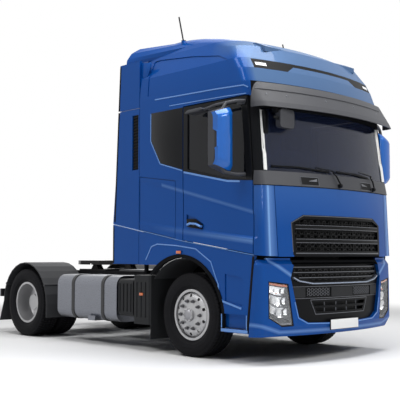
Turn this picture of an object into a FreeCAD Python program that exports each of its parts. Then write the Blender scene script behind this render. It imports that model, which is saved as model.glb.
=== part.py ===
import FreeCAD, Part
import functools
import math
import os

Vector = FreeCAD.Vector

# A two-axle truck tractor with a high sleeper cab. Lengths are millimetres. X points forward,
# Y to the vehicle's left and Z up, from the ground under the middle of the whole vehicle.

# Driving dimensions of the whole vehicle
wheelbase = 3600.0
front_overhang = 1445.0
rear_overhang = 880.0
vehicle_height = 4000.0
cab_half_width = 1250.0
cut_overrun = 60.0
full_turn_deg = 360
panel_gap = 8.0
running_gap = 0.3

front_axle_x = (wheelbase + rear_overhang - front_overhang) / 2
rear_axle_x = front_axle_x - wheelbase

# Tyres and rims
tyre_diameter = 1000.0
tyre_width = 314.0
tread_width = 256.0
tread_shoulder_drop = 16.0
bead_radius = 286.0
bead_width = 222.0
rim_flange_radius = 304.0
rim_flange_thickness = 11.0
rim_barrel_wall = 12.0
disc_thickness = 13.0
hub_bore_radius = 141.0
stud_circle_radius = 167.5
stud_hole_radius = 13.0
stud_count = 10
hand_hole_radius = 19.0
hand_hole_circle_radius = 228.0
twin_spacing = 350.0
front_wheel_centre_y = 1033.0
rear_wheel_centre_y = 1078.0
axle_height = tyre_diameter / 2

# Disc outline from the rim barrel inwards: share of the barrel's inner radius, share of the dish depth
front_dish_depth = 136.0
rear_dish_depth = -158.0
disc_outline_shares = ((1.0, 0.46), (0.97, 0.70), (0.90, 0.88), (0.80, 0.98), (0.74, 1.0), (0.515, 1.0))

# Wheel hubs and the steered knuckles
front_hub_reach = 186.0
front_hub_cap_radius = 78.0
front_hub_flange_radius = 138.0
rear_hub_reach = 12.0
hub_shoulder_share = 0.86
hub_end_share = 0.80
spindle_radius = 38.0
spindle_clearance = 0.3
kingpin_y = 880.0
kingpin_boss_radius = 46.0
kingpin_boss_height = 110.0
knuckle_fork_thickness = 34.0
knuckle_fork_gap = 0.3
knuckle_plate_radius = 118.0
knuckle_plate_thickness = 22.0
knuckle_plate_y = 936.0
steering_arm_reach = 190.0
steering_arm_thickness = 26.0
tie_rod_radius = 17.0
tie_rod_eye_radius = 30.0
tie_rod_pin_radius = 11.0
tie_rod_gap = 0.3
tie_rod_end_height = 44.0

# Front axle beam and leaf springs
beam_height = 90.0
beam_width = 96.0
beam_web = 30.0
beam_flange = 18.0
beam_drop = 92.0
beam_drop_half = 520.0
spring_y = 392.0
spring_width = 76.0
spring_leaf_thickness = 18.0
spring_leaf_count = 3
spring_half_length = 800.0
spring_camber = 70.0
spring_hanger_thickness = 50.0

# Ladder frame: two channel rails and their crossmembers
rail_outer_half = 425.0
rail_height = 266.0
rail_flange = 90.0
rail_plate = 12.0
rail_top = 975.0
frame_front_ahead = 1180.0
crossmember_depth = 90.0
crossmember_height = 150.0
crossmember_shares = (0.0, 0.20, 0.415, 0.585)
rear_beam_half = 1180.0
rear_beam_height = 120.0
rear_beam_depth = 60.0
rear_beam_bottom = 560.0
rear_beam_bracket_half = 300.0

# Engine, gearbox, radiator and propeller shaft
engine_front_ahead = 860.0
engine_rear_behind = 480.0
engine_half_width = 300.0
engine_bottom = 610.0
engine_top = 1290.0
gearbox_length = 620.0
gearbox_half_width = 210.0
gearbox_top = 955.0
engine_foot_length = 120.0
engine_foot_height = 90.0
radiator_front_ahead = 1060.0
radiator_thickness = 90.0
radiator_bottom = 640.0
radiator_top = 1235.0
propshaft_radius = 55.0
propshaft_end_gap = 2.0

# Rear axle and air springs
axle_tube_radius = 66.0
banjo_radius = 215.0
banjo_half_width = 120.0
banjo_neck_half_width = 260.0
pinion_reach = 330.0
pinion_radius = 92.0
rear_brake_radius = 205.0
rear_brake_inner_y = 520.0
rear_brake_width = 50.0
air_spring_radius = 92.0
air_spring_offset = 400.0
air_spring_y = 400.0
carrier_width = 90.0
carrier_height = 70.0

# Tanks, covers and boxes along the frame
tank_front_behind = 1370.0
tank_rear_behind = 2740.0
tank_bottom = 330.0
tank_top = 935.0
tank_outer_y = 1225.0
tank_inner_y = 600.0
tank_corner = 130.0
strap_width = 60.0
strap_thickness = 6.0
strap_shares = (0.28, 0.78)
tank_step_share = 0.56
tank_step_width = 160.0
tank_step_reach = 20.0
bracket_thickness = 40.0
urea_front_behind = 1030.0
urea_rear_behind = 1330.0
urea_bottom = 420.0
urea_top = 900.0
urea_corner = 60.0
urea_rib_count = 4
urea_rib_depth = 10.0
urea_rib_width = 24.0
cover_front_behind = 672.0
cover_rear_behind = 1015.0
cover_bottom = 340.0
cover_top = 955.0
cover_inner_y = 900.0
cover_outer_y = 1235.0
cover_corner = 40.0
cover_rib_width = 26.0
cover_rib_depth = 8.0
cover_rib_count = 3
exhaust_bottom = 380.0
exhaust_top = 920.0
exhaust_pipe_radius = 60.0
exhaust_pipe_reach = 120.0
catwalk_front_behind = 1180.0
catwalk_rear_behind = 2330.0
catwalk_thickness = 24.0
catwalk_half_width = 440.0

# Rear mudguards: three shells a side over the twin tyres
guard_radius = 585.0
guard_thickness = 14.0
guard_inner_y = 548.0
guard_outer_y = 1245.0
guard_front_low = 300.0
guard_rear_low = 195.0
guard_rear_flare = 120.0
guard_steps = 14
guard_bracket_radius = 20.0
guard_bracket_angle_deg = 27.0

# Fifth wheel
coupling_behind = 3020.0
coupling_top = 1125.0
coupling_plate_thickness = 26.0
coupling_half_width = 458.0
coupling_corner_share = 0.42
coupling_front_reach = 420.0
coupling_rear_reach = 450.0
coupling_rim_depth = 62.0
coupling_rim_wall = 16.0
kingpin_bore_radius = 25.8
throat_half_width = 150.0
coupling_pivot_radius = 22.0
coupling_pivot_drop = 58.0
coupling_lug_inner_y = 300.0
coupling_lug_width = 50.0
coupling_lug_radius = 42.0
coupling_ear_width = 24.0
coupling_ear_half_length = 110.0
coupling_base_thickness = 20.0
coupling_base_half_length = 330.0

# Cab outline: heights of its levels, and how far its front stands ahead of the front axle there
cab_rear_behind = 880.0
cab_wall = 56.0
front_bow_radius = 4000.0
cab_corner_radius = 130.0
lid_bottom = 1184.0
cowl_bottom = 1988.0
cowl_top = 2146.0
windscreen_top = 2862.0
visor_top = 3150.0
roof_joint = 3170.0
reach_at_lid_bottom = 1400.0
reach_at_cowl_bottom = 1366.0
reach_at_cowl_top = 1332.0
reach_at_roof_joint = 1208.0
cab_floor_bottom = 1400.0
cab_floor_thickness = 60.0
firewall_ahead = 1090.0
firewall_bottom = 1310.0
floor_step_ahead = 1040.0
panel_thickness = 32.0

# The line that parts the tilting cab from the fairings below it, falling towards the front
split_gap = 10.0
split_front_ahead = 1110.0
split_front_height = 1212.0
split_middle_ahead = -48.0
split_middle_height = 1378.0
split_rear_behind = 1420.0
split_rear_height = 1620.0

# Doors
door_front_ahead = 1092.0
door_rear_behind = 45.0
door_top = 2994.0
door_top_front_ahead = 1006.0
door_belt_rear = 2236.0
door_belt_middle = 2085.0
door_belt_middle_ahead = 700.0
door_belt_front = 2056.0
door_window_rear_inset = 75.0
door_window_top_inset = 62.0
door_window_front_inset = 90.0
door_gap = 12.0
glass_thickness = 6.0
glass_depth = 14.0
handle_ahead = 150.0
handle_height = 1600.0
handle_length = 290.0
handle_width = 96.0
handle_drop = 74.0
handle_depth = 26.0

# Quarter windows and locker hatches behind the doors
quarter_rear_behind = 650.0
quarter_top = 2962.0
quarter_rear_low = 2640.0
quarter_corner_behind = 470.0
quarter_corner_height = 2345.0
quarter_front_behind = 92.0
quarter_front_height = 2252.0
hatch_front_behind = 195.0
hatch_rear_inset = 14.0
hatch_top_rear = 2200.0
hatch_top_front = 2106.0
hatch_thickness = 30.0

# Shallow channel along each side of the cab, deepest at the front
channel_rear_top = 2219.0
channel_rear_low = 1614.0
channel_rear_depth = 4.0
channel_front_top = 1616.0
channel_front_low = 1345.0
channel_front_depth = 16.0
channel_top_slope = 60.0
channel_low_slope = 30.0

# Windscreen, cowl and front lid
windscreen_half_width = 1120.0
windscreen_depth = 10.0
cowl_proud = 8.0
lid_top_half_width = 1040.0
lid_low_half_width = 1022.0
lid_thickness = 40.0
lid_seat_height = 60.0
lid_seat_thickness = 22.0
lid_seat_half_width = 620.0
grille_top = 1664.0
grille_bottom = 1212.0
grille_top_half_width = 668.0
grille_half_width = 843.0
grille_shoulder_drop = 88.0
grille_bottom_half_width = 826.0
grille_frame = 42.0
grille_depth = 70.0
grille_bar_height = 58.0
grille_bar_shares = (0.36, 0.69)
grille_slat_height = 9.0
grille_slat_shares = (0.10, 0.19, 0.51, 0.60, 0.80, 0.90)
grille_mullion_shares = (-0.75, -0.5, -0.25, 0.0, 0.25, 0.5, 0.75)
grille_mullion_width = 12.0

# Roof
roof_level_shares = ((0.0, 1.0, 1.0, 1.0), (0.20, 0.952, 0.992, 1.2), (0.35, 0.898, 0.984, 1.4),
                     (0.56, 0.803, 0.92, 2.1), (0.687, 0.629, 0.88, 2.8), (0.759, 0.455, 0.848, 3.5),
                     (0.843, 0.273, 0.80, 4.2), (0.928, 0.083, 0.72, 4.6), (1.0, -0.182, 0.576, 4.2))
roof_strip_low = 3335.0
roof_strip_high = 3450.0
roof_strip_half_width = 1110.0
roof_strip_deep_y = 650.0
roof_strip_thin_y = 530.0
roof_strip_thin_low = 3408.0
roof_strip_depth = 24.0

# Shallow panel in each side of the roof: shares of the roof's length from the rear, and of its height
roof_panel_depth = 8.0
roof_panel_shares = ((0.073, 0.06), (0.073, 0.620), (0.119, 0.631), (0.412, 0.554), (0.666, 0.447),
                     (0.741, 0.360), (0.785, 0.220), (0.807, 0.06))

# Lamp pods and aerials on the roof
roof_lamp_height = 3640.0
roof_lamp_y = 694.0
roof_lamp_half_width = 170.0
roof_lamp_half_height = 62.0
roof_lamp_ahead = 850.0
roof_lamp_length = 240.0
antenna_radius = 9.0
antenna_height = 230.0
antenna_lean = 90.0
antenna_ahead = -320.0
antenna_y = 1000.0
antenna_foot_radius = 30.0
antenna_foot_height = 26.0

# Roof deflector, which rises out of the roof, and the side deflectors behind the cab. A row gives one
# corner of its section: width and height shares at its front end, then the same at its rear end
roof_deflector_front_behind = 145.0
roof_deflector_crest_behind = 1060.0
roof_deflector_knee_behind = 1182.0
roof_deflector_rear_behind = 1250.0
roof_deflector_low = 3715.0
roof_deflector_knee_height = 3890.0
roof_deflector_rear_height = 3782.0
roof_deflector_shares = ((0.810, 0.0, 0.944, 0.0), (0.832, 0.14, 0.942, 0.14), (0.844, 0.298, 0.936, 0.298),
                         (0.788, 0.544, 0.92, 0.544), (0.62, 0.782, 0.868, 0.789), (0.24, 0.888, 0.624, 1.0))
deflector_thickness = 40.0
side_deflector_top_behind = 1290.0
side_deflector_low_behind = 1420.0
side_deflector_top = 3706.0
side_deflector_break = 3092.0
deflector_slot_front_behind = 905.0
deflector_slot_rear_behind = 1030.0
deflector_slot_top = 3010.0
deflector_slot_bottom = 2300.0
deflector_brace_height = 60.0
skirt_bottom = 1095.0

# Sun visor and the front mirror
visor_half_width = 1274.0
visor_low = 2850.0
visor_front_reach = 1415.0
visor_thickness = 22.0
visor_drop = 60.0
visor_side_rear_ahead = 1090.0
front_mirror_half_width = 120.0
front_mirror_height = 210.0
front_mirror_depth = 70.0
front_mirror_y = -880.0
front_mirror_ahead = 1215.0
front_mirror_top = 2844.0
front_mirror_stalk_top = 2970.0

# Door mirrors
mirror_inner_y = 1385.0
mirror_outer_y = 1650.0
mirror_low = 2150.0
mirror_high = 2860.0
mirror_rear_ahead = 790.0
mirror_front_ahead = 975.0
mirror_corner = 40.0
mirror_arm_radius = 19.0
mirror_arm_ahead = 930.0
mirror_low_arm_height = 2115.0
mirror_high_arm_height = 2925.0
mirror_foot_length = 130.0
mirror_foot_height = 50.0
kerb_mirror_rear_ahead = 180.0
kerb_mirror_front_ahead = 500.0
kerb_mirror_inner_y = 1300.0
kerb_mirror_outer_y = 1460.0
kerb_mirror_bottom = 2850.0
kerb_mirror_height = 60.0

# Wipers
wiper_radius = 9.0
wiper_length = 620.0
wiper_pivot_shares = (-0.66, 0.0, 0.66)
wiper_lift = 55.0
wiper_standoff = 26.0
wiper_boss_length = 90.0
wiper_boss_radius = 16.0

# Bumper
bumper_bottom = 312.0
bumper_sill = 430.0
bumper_waist = 900.0
bumper_shoulder = 1100.0
bumper_top = 1160.0
bumper_reach_bottom = 1316.0
bumper_reach = 1388.0
bumper_reach_shoulder = 1380.0
bumper_reach_top = 1336.0
bumper_wall = 40.0
bumper_gap_top_ahead = 1105.0
bumper_gap_top = 1210.0
bumper_gap_low_ahead = 1010.0
bumper_gap_low = 310.0
bumper_gap = 12.0
lower_grille_top = 1128.0
lower_grille_top_half = 796.0
lower_grille_outer_low = 956.0
lower_grille_inner_low = 889.0
lower_grille_inner_half = 482.0
vent_top = 690.0
vent_bottom = 555.0
vent_half_width = 505.0
vent_bevel = 60.0
lower_bar_height = 26.0
lower_bar_count = 3

# Dark middle of the bumper, set back behind the painted shell: shares of the headlamps' inner y and
# of the height from its lower edge to the lower grille's top
bumper_centre_low = 443.0
bumper_centre_thickness = 20.0
bumper_centre_margin = 20.0
bumper_centre_shares = ((0.30, 0.0), (0.689, 0.018), (0.839, 0.114), (0.893, 0.364), (0.964, 0.752),
                        (0.90, 1.0))

# Headlamps and the beam behind the bumper
headlamp_inset = 6.0
headlamp_depth = 110.0
headlamp_inner_top_y = 884.0
headlamp_inner_low_y = 812.0
headlamp_outer_y = 1140.0
headlamp_top = 925.0
headlamp_inner_top = 893.0
headlamp_low = 425.0
headlamp_outer_low = 520.0
bumper_beam_height = 120.0
bumper_beam_depth = 52.0
bumper_beam_half = 856.0
bumper_stay_inner_y = 836.0
bumper_stay_outer_y = 856.0
bumper_beam_bottom = 760.0
bumper_beam_ahead = 1180.0

# Side fairings with the wheel arches and steps
fairing_thickness = 56.0
fairing_rear_low = 1090.0
fairing_bottom = 345.0
arch_centre_behind = 100.0
arch_centre_height = 460.0
arch_radius = 716.0
arch_lip_width = 42.0
arch_lip_proud = 10.0
arch_lip_front_low = 680.0
arch_front_ahead = 590.0
step_top = 553.0
step_low = 388.0
step_rear_ahead = 620.0
step_front_ahead = 985.0
step_depth = 250.0
step_wall = 14.0
fairing_recess_rear_ahead = 660.0
fairing_recess_front_ahead = 930.0
fairing_recess_top = 1000.0
fairing_recess_low = 690.0
fairing_recess_fall = 40.0
fairing_recess_depth = 12.0
liner_inner_y = 610.0
liner_thickness = 10.0
liner_gap = 2.0
liner_front_angle = 22.0
liner_rear_angle = 140.0
mudflap_low = 165.0
mudflap_thickness = 12.0
mudflap_behind = 655.0

# Cab pivot at the front and rests at the rear
tilt_ahead = 1100.0
tilt_height = 850.0
tilt_pin_radius = 24.0
tilt_pin_clearance = 0.05
tilt_arm_inner_y = 470.0
tilt_arm_width = 56.0
tilt_arm_depth = 90.0
tilt_arm_knee_behind = 400.0
tilt_arm_knee_rise = 400.0
cab_rest_behind = 720.0
cab_rest_y = 520.0
cab_rest_radius = 48.0
cab_rest_beam_height = 110.0
cab_rest_beam_depth = 110.0

# Inside the cab
dash_depth = 330.0
dash_crest_share = 0.55
dash_face_share = 0.35
dash_lower_share = 0.9
dash_rise_share = 0.3
dash_foot_share = 0.5
dash_top = 2105.0
dash_bottom = 1640.0
dash_half_width = 1180.0
seat_y = 620.0
seat_ahead = 130.0
seat_half_width = 255.0
seat_length = 500.0
seat_cushion_height = 130.0
seat_top = 1985.0
seat_back_height = 640.0
seat_back_thickness = 130.0
seat_head_rear_share = 0.8
seat_head_front_share = 0.1
seat_back_lean = 90.0
seat_head_half_width = 140.0
seat_head_height = 190.0
seat_pedestal_half = 170.0
bunk_front_behind = 130.0
bunk_thickness = 140.0
bunk_base_top = 1930.0
bunk_side_gap = 12.0
steering_wheel_radius = 232.0
steering_wheel_rim = 15.0
steering_wheel_ahead = 640.0
steering_wheel_height = 2185.0
steering_wheel_lean_deg = 32.0
steering_hub_radius = 62.0
steering_hub_height = 46.0
steering_spoke_count = 3
steering_spoke_width = 34.0
steering_spoke_thickness = 14.0
column_radius = 42.0
column_reach_share = 1.3

# Lamps at the rear
tail_lamp_length = 360.0
tail_lamp_height = 130.0
tail_lamp_round_share = 0.2
tail_lamp_depth = 50.0
tail_lamp_y = 700.0
frame_end_x = rear_axle_x - rear_overhang + tail_lamp_depth


def ahead(distance):
    """Return the x of a place that stands this far ahead of the front axle."""
    return front_axle_x + distance


def behind(distance):
    """Return the x of a place that stands this far behind the front axle."""
    return front_axle_x - distance


def block(x_low, x_high, y_low, y_high, z_low, z_high):
    """Return a box between two corners."""
    return Part.makeBox(x_high - x_low, y_high - y_low, z_high - z_low, Vector(x_low, y_low, z_low))


def side_prism(points, y_low, y_high):
    """Return a solid whose outline in the side view is a list of (x, z) points."""
    corners = [Vector(x, y_low, z) for x, z in points]
    face = Part.Face(Part.makePolygon(corners + corners[:1]))
    return face.extrude(Vector(0, y_high - y_low, 0))


def front_prism(points, x_low, x_high):
    """Return a solid whose outline in the front view is a list of (y, z) points."""
    corners = [Vector(x_low, y, z) for y, z in points]
    face = Part.Face(Part.makePolygon(corners + corners[:1]))
    return face.extrude(Vector(x_high - x_low, 0, 0))


def plan_prism(points, z_low, z_high):
    """Return a solid whose outline from above is a list of (x, y) points."""
    corners = [Vector(x, y, z_low) for x, y in points]
    face = Part.Face(Part.makePolygon(corners + corners[:1]))
    return face.extrude(Vector(0, 0, z_high - z_low))


def rod(start, end, radius):
    """Return a round bar between two points."""
    way = end - start
    return Part.makeCylinder(radius, way.Length, start, way)


def cross_rod(x, z, y_low, y_high, radius):
    """Return a round bar across the vehicle."""
    return rod(Vector(x, y_low, z), Vector(x, y_high, z), radius)


def post(x, y, z_low, z_high, radius):
    """Return an upright round bar."""
    return rod(Vector(x, y, z_low), Vector(x, y, z_high), radius)


def joined(shapes):
    """Fuse shapes that share faces or volume into one clean solid."""
    return shapes[0].fuse(shapes[1:]).removeSplitter()


def mirrored(shape):
    """Return the shape on the other side of the vehicle's middle plane."""
    return shape.mirror(Vector(0, 0, 0), Vector(0, 1, 0))


def group(shapes):
    """Return shapes that don't touch as one compound of their solids."""
    solids = []
    for shape in shapes:
        solids.extend(shape.Solids)
    return Part.makeCompound(solids)


def both_sides(shape):
    """Return a shape with its mirror image."""
    return group([shape, mirrored(shape)])


def rounded_x(solid, radius):
    """Round the edges of a solid that run along the vehicle."""
    edges = [edge for edge in solid.Edges if along(edge, Vector(1, 0, 0))]
    return solid.makeFillet(radius, edges)


def rounded_z(solid, radius):
    """Round the upright edges of a solid."""
    edges = [edge for edge in solid.Edges if along(edge, Vector(0, 0, 1))]
    return solid.makeFillet(radius, edges)


def along(edge, direction):
    """Say whether a straight edge runs along a direction."""
    if not isinstance(edge.Curve, Part.Line):
        return False
    return abs(edge.Curve.Direction.dot(direction)) > math.cos(math.radians(1))


def turned_about_y(profile):
    """Turn a closed list of (radius, y) points into a ring about the Y axis."""
    corners = [Vector(0, y, radius) for radius, y in profile]
    face = Part.Face(Part.makePolygon(corners + corners[:1]))
    return face.revolve(Vector(0, 0, 0), Vector(0, 1, 0), full_turn_deg)


def moved(shape, x, y, z):
    """Return a copy of a shape shifted by x, y and z."""
    copy = shape.copy()
    copy.translate(Vector(x, y, z))
    return copy


def plan_outline(front_x, rear_x, half_width, corner, bow, z):
    """Return the cab's plan at one height: straight sides, rounded corners and a bowed front."""
    bow_centre = front_x - bow
    corner_y = half_width - corner
    corner_x = bow_centre + math.sqrt((bow - corner) ** 2 - corner_y ** 2)
    scale = bow / (bow - corner)
    meet_x = bow_centre + (corner_x - bow_centre) * scale
    meet_y = corner_y * scale
    half = math.sqrt(0.5)
    lean = math.atan2(meet_y - corner_y, meet_x - corner_x)
    middle = (lean + math.pi / 2) / 2
    middle_x = corner_x + corner * math.cos(middle)
    middle_y = corner_y + corner * math.sin(middle)
    edges = [
        Part.LineSegment(Vector(rear_x, -half_width, z), Vector(corner_x, -half_width, z)),
        Part.Arc(Vector(corner_x, -half_width, z), Vector(middle_x, -middle_y, z),
                 Vector(meet_x, -meet_y, z)),
        Part.Arc(Vector(meet_x, -meet_y, z), Vector(front_x, 0, z), Vector(meet_x, meet_y, z)),
        Part.Arc(Vector(meet_x, meet_y, z), Vector(middle_x, middle_y, z), Vector(corner_x, half_width, z)),
        Part.LineSegment(Vector(corner_x, half_width, z), Vector(rear_x, half_width, z)),
        Part.LineSegment(Vector(rear_x, half_width, z), Vector(rear_x, -half_width, z)),
    ]
    return Part.Wire([edge.toShape() for edge in edges])


def bowed_body(levels, rear_x, inset, ruled):
    """Loft plan outlines, each a row of height, reach, half width and corner radius."""
    wires = []
    for height, reach, half_width, corner in levels:
        wires.append(plan_outline(ahead(reach) - inset, rear_x + inset, half_width - inset,
                                  corner - inset, front_bow_radius - inset, height))
    return Part.makeLoft(wires, True, ruled)


cab_levels = (
    (lid_bottom, reach_at_lid_bottom, cab_half_width, cab_corner_radius),
    (cowl_bottom, reach_at_cowl_bottom, cab_half_width, cab_corner_radius),
    (cowl_top, reach_at_cowl_top, cab_half_width, cab_corner_radius),
    (roof_joint, reach_at_roof_joint, cab_half_width, cab_corner_radius),
)
bumper_levels = (
    (bumper_bottom, bumper_reach_bottom, cab_half_width, cab_corner_radius),
    (bumper_sill, bumper_reach, cab_half_width, cab_corner_radius),
    (bumper_waist, bumper_reach, cab_half_width, cab_corner_radius),
    (bumper_shoulder, bumper_reach_shoulder, cab_half_width, cab_corner_radius),
    (bumper_top, bumper_reach_top, cab_half_width - panel_gap, cab_corner_radius),
)


@functools.lru_cache(maxsize=None)
def cab_body(inset):
    """Return the cab's outer form below the roof joint, shrunk by an inset."""
    return bowed_body(cab_levels, behind(cab_rear_behind), inset, True)


@functools.lru_cache(maxsize=None)
def cab_layer(depth, thickness):
    """Return the skin of the cab between two depths, open at its top and bottom."""
    return cab_body(depth).cut(cab_body(depth + thickness))


def split_points(shift, bottom, top):
    """Return the parting line from rear to front, shifted up, closed at one height."""
    rear = (behind(split_rear_behind), split_rear_height + shift)
    middle = (ahead(split_middle_ahead), split_middle_height + shift)
    front = (ahead(split_front_ahead), split_front_height + shift)
    nose = (ahead(front_overhang), lid_bottom + shift)
    close = top if bottom is None else bottom
    return [rear, middle, front, nose, (nose[0], close), (rear[0], close)]


@functools.lru_cache(maxsize=None)
def above_split():
    """Return the space above the parting line."""
    points = split_points(0, None, vehicle_height)
    return side_prism(points, -cab_half_width - cut_overrun, cab_half_width + cut_overrun)


@functools.lru_cache(maxsize=None)
def below_split():
    """Return the space below the parting line, a gap lower."""
    points = split_points(-split_gap, 0, None)
    return side_prism(points, -cab_half_width - cut_overrun, cab_half_width + cut_overrun)


def split_height(distance):
    """Return the height of the parting line at a distance ahead of the front axle."""
    if distance > split_middle_ahead:
        run = split_front_ahead - split_middle_ahead
        share = (distance - split_middle_ahead) / run
        return split_middle_height + share * (split_front_height - split_middle_height)
    run = split_middle_ahead + split_rear_behind
    share = (distance + split_rear_behind) / run
    return split_rear_height + share * (split_middle_height - split_rear_height)


def save(name, shape):
    """Write one sub-part to its own file."""
    shape.exportStep("parts/" + name + ".step")


# Wheels

def tyre():
    """Return a tyre about the Y axis, with rounded sidewalls."""
    half = tyre_width / 2
    radius = tyre_diameter / 2
    tread = tread_width / 2
    bead = bead_width / 2
    shoulder_radius = radius - tread_shoulder_drop
    middle_radius = (rim_flange_radius + shoulder_radius) / 2
    shoulder = (tread + half) / 2
    right = [Vector(0, bead, rim_flange_radius), Vector(0, half, middle_radius),
             Vector(0, shoulder, shoulder_radius)]
    left = [Vector(0, -point.y, point.z) for point in reversed(right)]
    corners = [right[2], Vector(0, tread, radius), Vector(0, -tread, radius), left[0]]
    foot = [left[2], Vector(0, -bead, bead_radius), Vector(0, bead, bead_radius), right[0]]
    edges = [Part.Arc(right[0], right[1], right[2]).toShape()]
    edges += [Part.LineSegment(start, end).toShape() for start, end in zip(corners, corners[1:])]
    edges.append(Part.Arc(left[0], left[1], left[2]).toShape())
    edges += [Part.LineSegment(start, end).toShape() for start, end in zip(foot, foot[1:])]
    return Part.Face(Part.Wire(edges)).revolve(Vector(0, 0, 0), Vector(0, 1, 0), full_turn_deg)


def rim(dish_depth, pierced):
    """Return a rim with its disc about the Y axis, the disc dished by a depth along +Y."""
    half = bead_width / 2
    inner = bead_radius - rim_barrel_wall
    barrel = turned_about_y([
        (inner, -half - rim_flange_thickness), (rim_flange_radius, -half - rim_flange_thickness),
        (rim_flange_radius, -half), (bead_radius, -half), (bead_radius, half),
        (rim_flange_radius, half), (rim_flange_radius, half + rim_flange_thickness),
        (inner, half + rim_flange_thickness)])
    outer_line = [(inner * radius_share, dish_depth * depth_share)
                  for radius_share, depth_share in disc_outline_shares]
    back = math.copysign(disc_thickness, dish_depth)
    inner_line = [(radius, depth - back) for radius, depth in reversed(outer_line)]
    disc = turned_about_y(outer_line + inner_line)
    wheel = joined([barrel, disc])
    if not pierced:
        return wheel
    low = min(0, dish_depth) - cut_overrun
    high = max(0, dish_depth) + cut_overrun
    holes = []
    for number in range(stud_count):
        angle = 2 * math.pi * number / stud_count
        holes.append(cross_rod(stud_circle_radius * math.cos(angle), stud_circle_radius * math.sin(angle),
                               low, high, stud_hole_radius))
        middle = angle + math.pi / stud_count
        holes.append(cross_rod(hand_hole_circle_radius * math.cos(middle),
                               hand_hole_circle_radius * math.sin(middle), low, high, hand_hole_radius))
    return wheel.cut(Part.makeCompound(holes))


def front_hub():
    """Return the hub that fills a front rim's bore and turns on the spindle."""
    mount = front_dish_depth - disc_thickness
    inner_end = knuckle_plate_y + knuckle_plate_thickness + running_gap - front_wheel_centre_y
    return turned_about_y([
        (spindle_radius + spindle_clearance, inner_end), (front_hub_flange_radius, inner_end),
        (front_hub_flange_radius + stud_circle_radius / 3, mount), (hub_bore_radius, mount),
        (hub_bore_radius, front_dish_depth), (front_hub_cap_radius, front_dish_depth + disc_thickness),
        (front_hub_cap_radius, front_hub_reach), (0, front_hub_reach),
        (0, front_dish_depth), (spindle_radius + spindle_clearance, mount)])


def rear_hub():
    """Return the hub that fills both rear rims' bores and stands out into the outer dish."""
    outer = rear_dish_depth + disc_thickness
    return turned_about_y([
        (axle_tube_radius + spindle_clearance, outer - twin_spacing / 2), (hub_bore_radius,
                                                                           outer - twin_spacing / 2),
        (hub_bore_radius, rear_dish_depth),
        (hub_bore_radius * hub_shoulder_share, rear_dish_depth + disc_thickness),
        (hub_bore_radius * hub_end_share, rear_hub_reach), (0, rear_hub_reach),
        (0, rear_dish_depth), (axle_tube_radius + spindle_clearance, rear_dish_depth)])


def front_wheel_parts():
    """Return the left front tyre and rim in place."""
    y = front_wheel_centre_y
    wheel = joined([rim(front_dish_depth, True), front_hub()])
    return moved(tyre(), front_axle_x, y, axle_height), moved(wheel, front_axle_x, y, axle_height)


def rear_wheel_parts():
    """Return the left rear twin tyres and rims in place."""
    outer_y = rear_wheel_centre_y
    inner_y = outer_y - twin_spacing
    tyres = group([moved(tyre(), rear_axle_x, y, axle_height) for y in (outer_y, inner_y)])
    inner_rim = moved(rim(-rear_dish_depth, False), 0, -twin_spacing, 0)
    rims = joined([rim(rear_dish_depth, True), inner_rim, rear_hub()])
    return tyres, moved(rims, rear_axle_x, outer_y, axle_height)


def save_wheels():
    """Write all tyres and rims."""
    tyre_front, rim_front = front_wheel_parts()
    tyres_rear, rims_rear = rear_wheel_parts()
    save("tyre_front_left", tyre_front)
    save("tyre_front_right", mirrored(tyre_front))
    save("rim_front_left", rim_front)
    save("rim_front_right", mirrored(rim_front))
    save("tyres_rear_left", tyres_rear)
    save("tyres_rear_right", mirrored(tyres_rear))
    save("rims_rear_left", rims_rear)
    save("rims_rear_right", mirrored(rims_rear))


# Axles and steering

def front_axle():
    """Return the dropped beam with its kingpin eyes."""
    x = front_axle_x
    z = axle_height
    half = beam_height / 2
    low = z - beam_drop
    points = [
        (-kingpin_y, z - half), (-beam_drop_half - beam_drop, z - half), (-beam_drop_half, low - half),
        (beam_drop_half, low - half), (beam_drop_half + beam_drop, z - half), (kingpin_y, z - half),
        (kingpin_y, z + half), (beam_drop_half + beam_drop, z + half), (beam_drop_half, low + half),
        (-beam_drop_half, low + half), (-beam_drop_half - beam_drop, z + half), (-kingpin_y, z + half)]
    beam = front_prism(points, x - beam_width / 2, x + beam_width / 2)
    pocket_points = [
        (-kingpin_y, z - half + beam_flange), (-beam_drop_half - beam_drop, z - half + beam_flange),
        (-beam_drop_half, low - half + beam_flange), (beam_drop_half, low - half + beam_flange),
        (beam_drop_half + beam_drop, z - half + beam_flange), (kingpin_y, z - half + beam_flange),
        (kingpin_y, z + half - beam_flange), (beam_drop_half + beam_drop, z + half - beam_flange),
        (beam_drop_half, low + half - beam_flange), (-beam_drop_half, low + half - beam_flange),
        (-beam_drop_half - beam_drop, z + half - beam_flange), (-kingpin_y, z + half - beam_flange)]
    front_pocket = front_prism(pocket_points, x + beam_web / 2, x + beam_width)
    rear_pocket = front_prism(pocket_points, x - beam_width, x - beam_web / 2)
    beam = beam.cut([front_pocket, rear_pocket])
    bosses = []
    for side in (-1, 1):
        bosses.append(post(x, side * kingpin_y, z - kingpin_boss_height / 2, z + kingpin_boss_height / 2,
                           kingpin_boss_radius))
    return joined([beam] + bosses)


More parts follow.
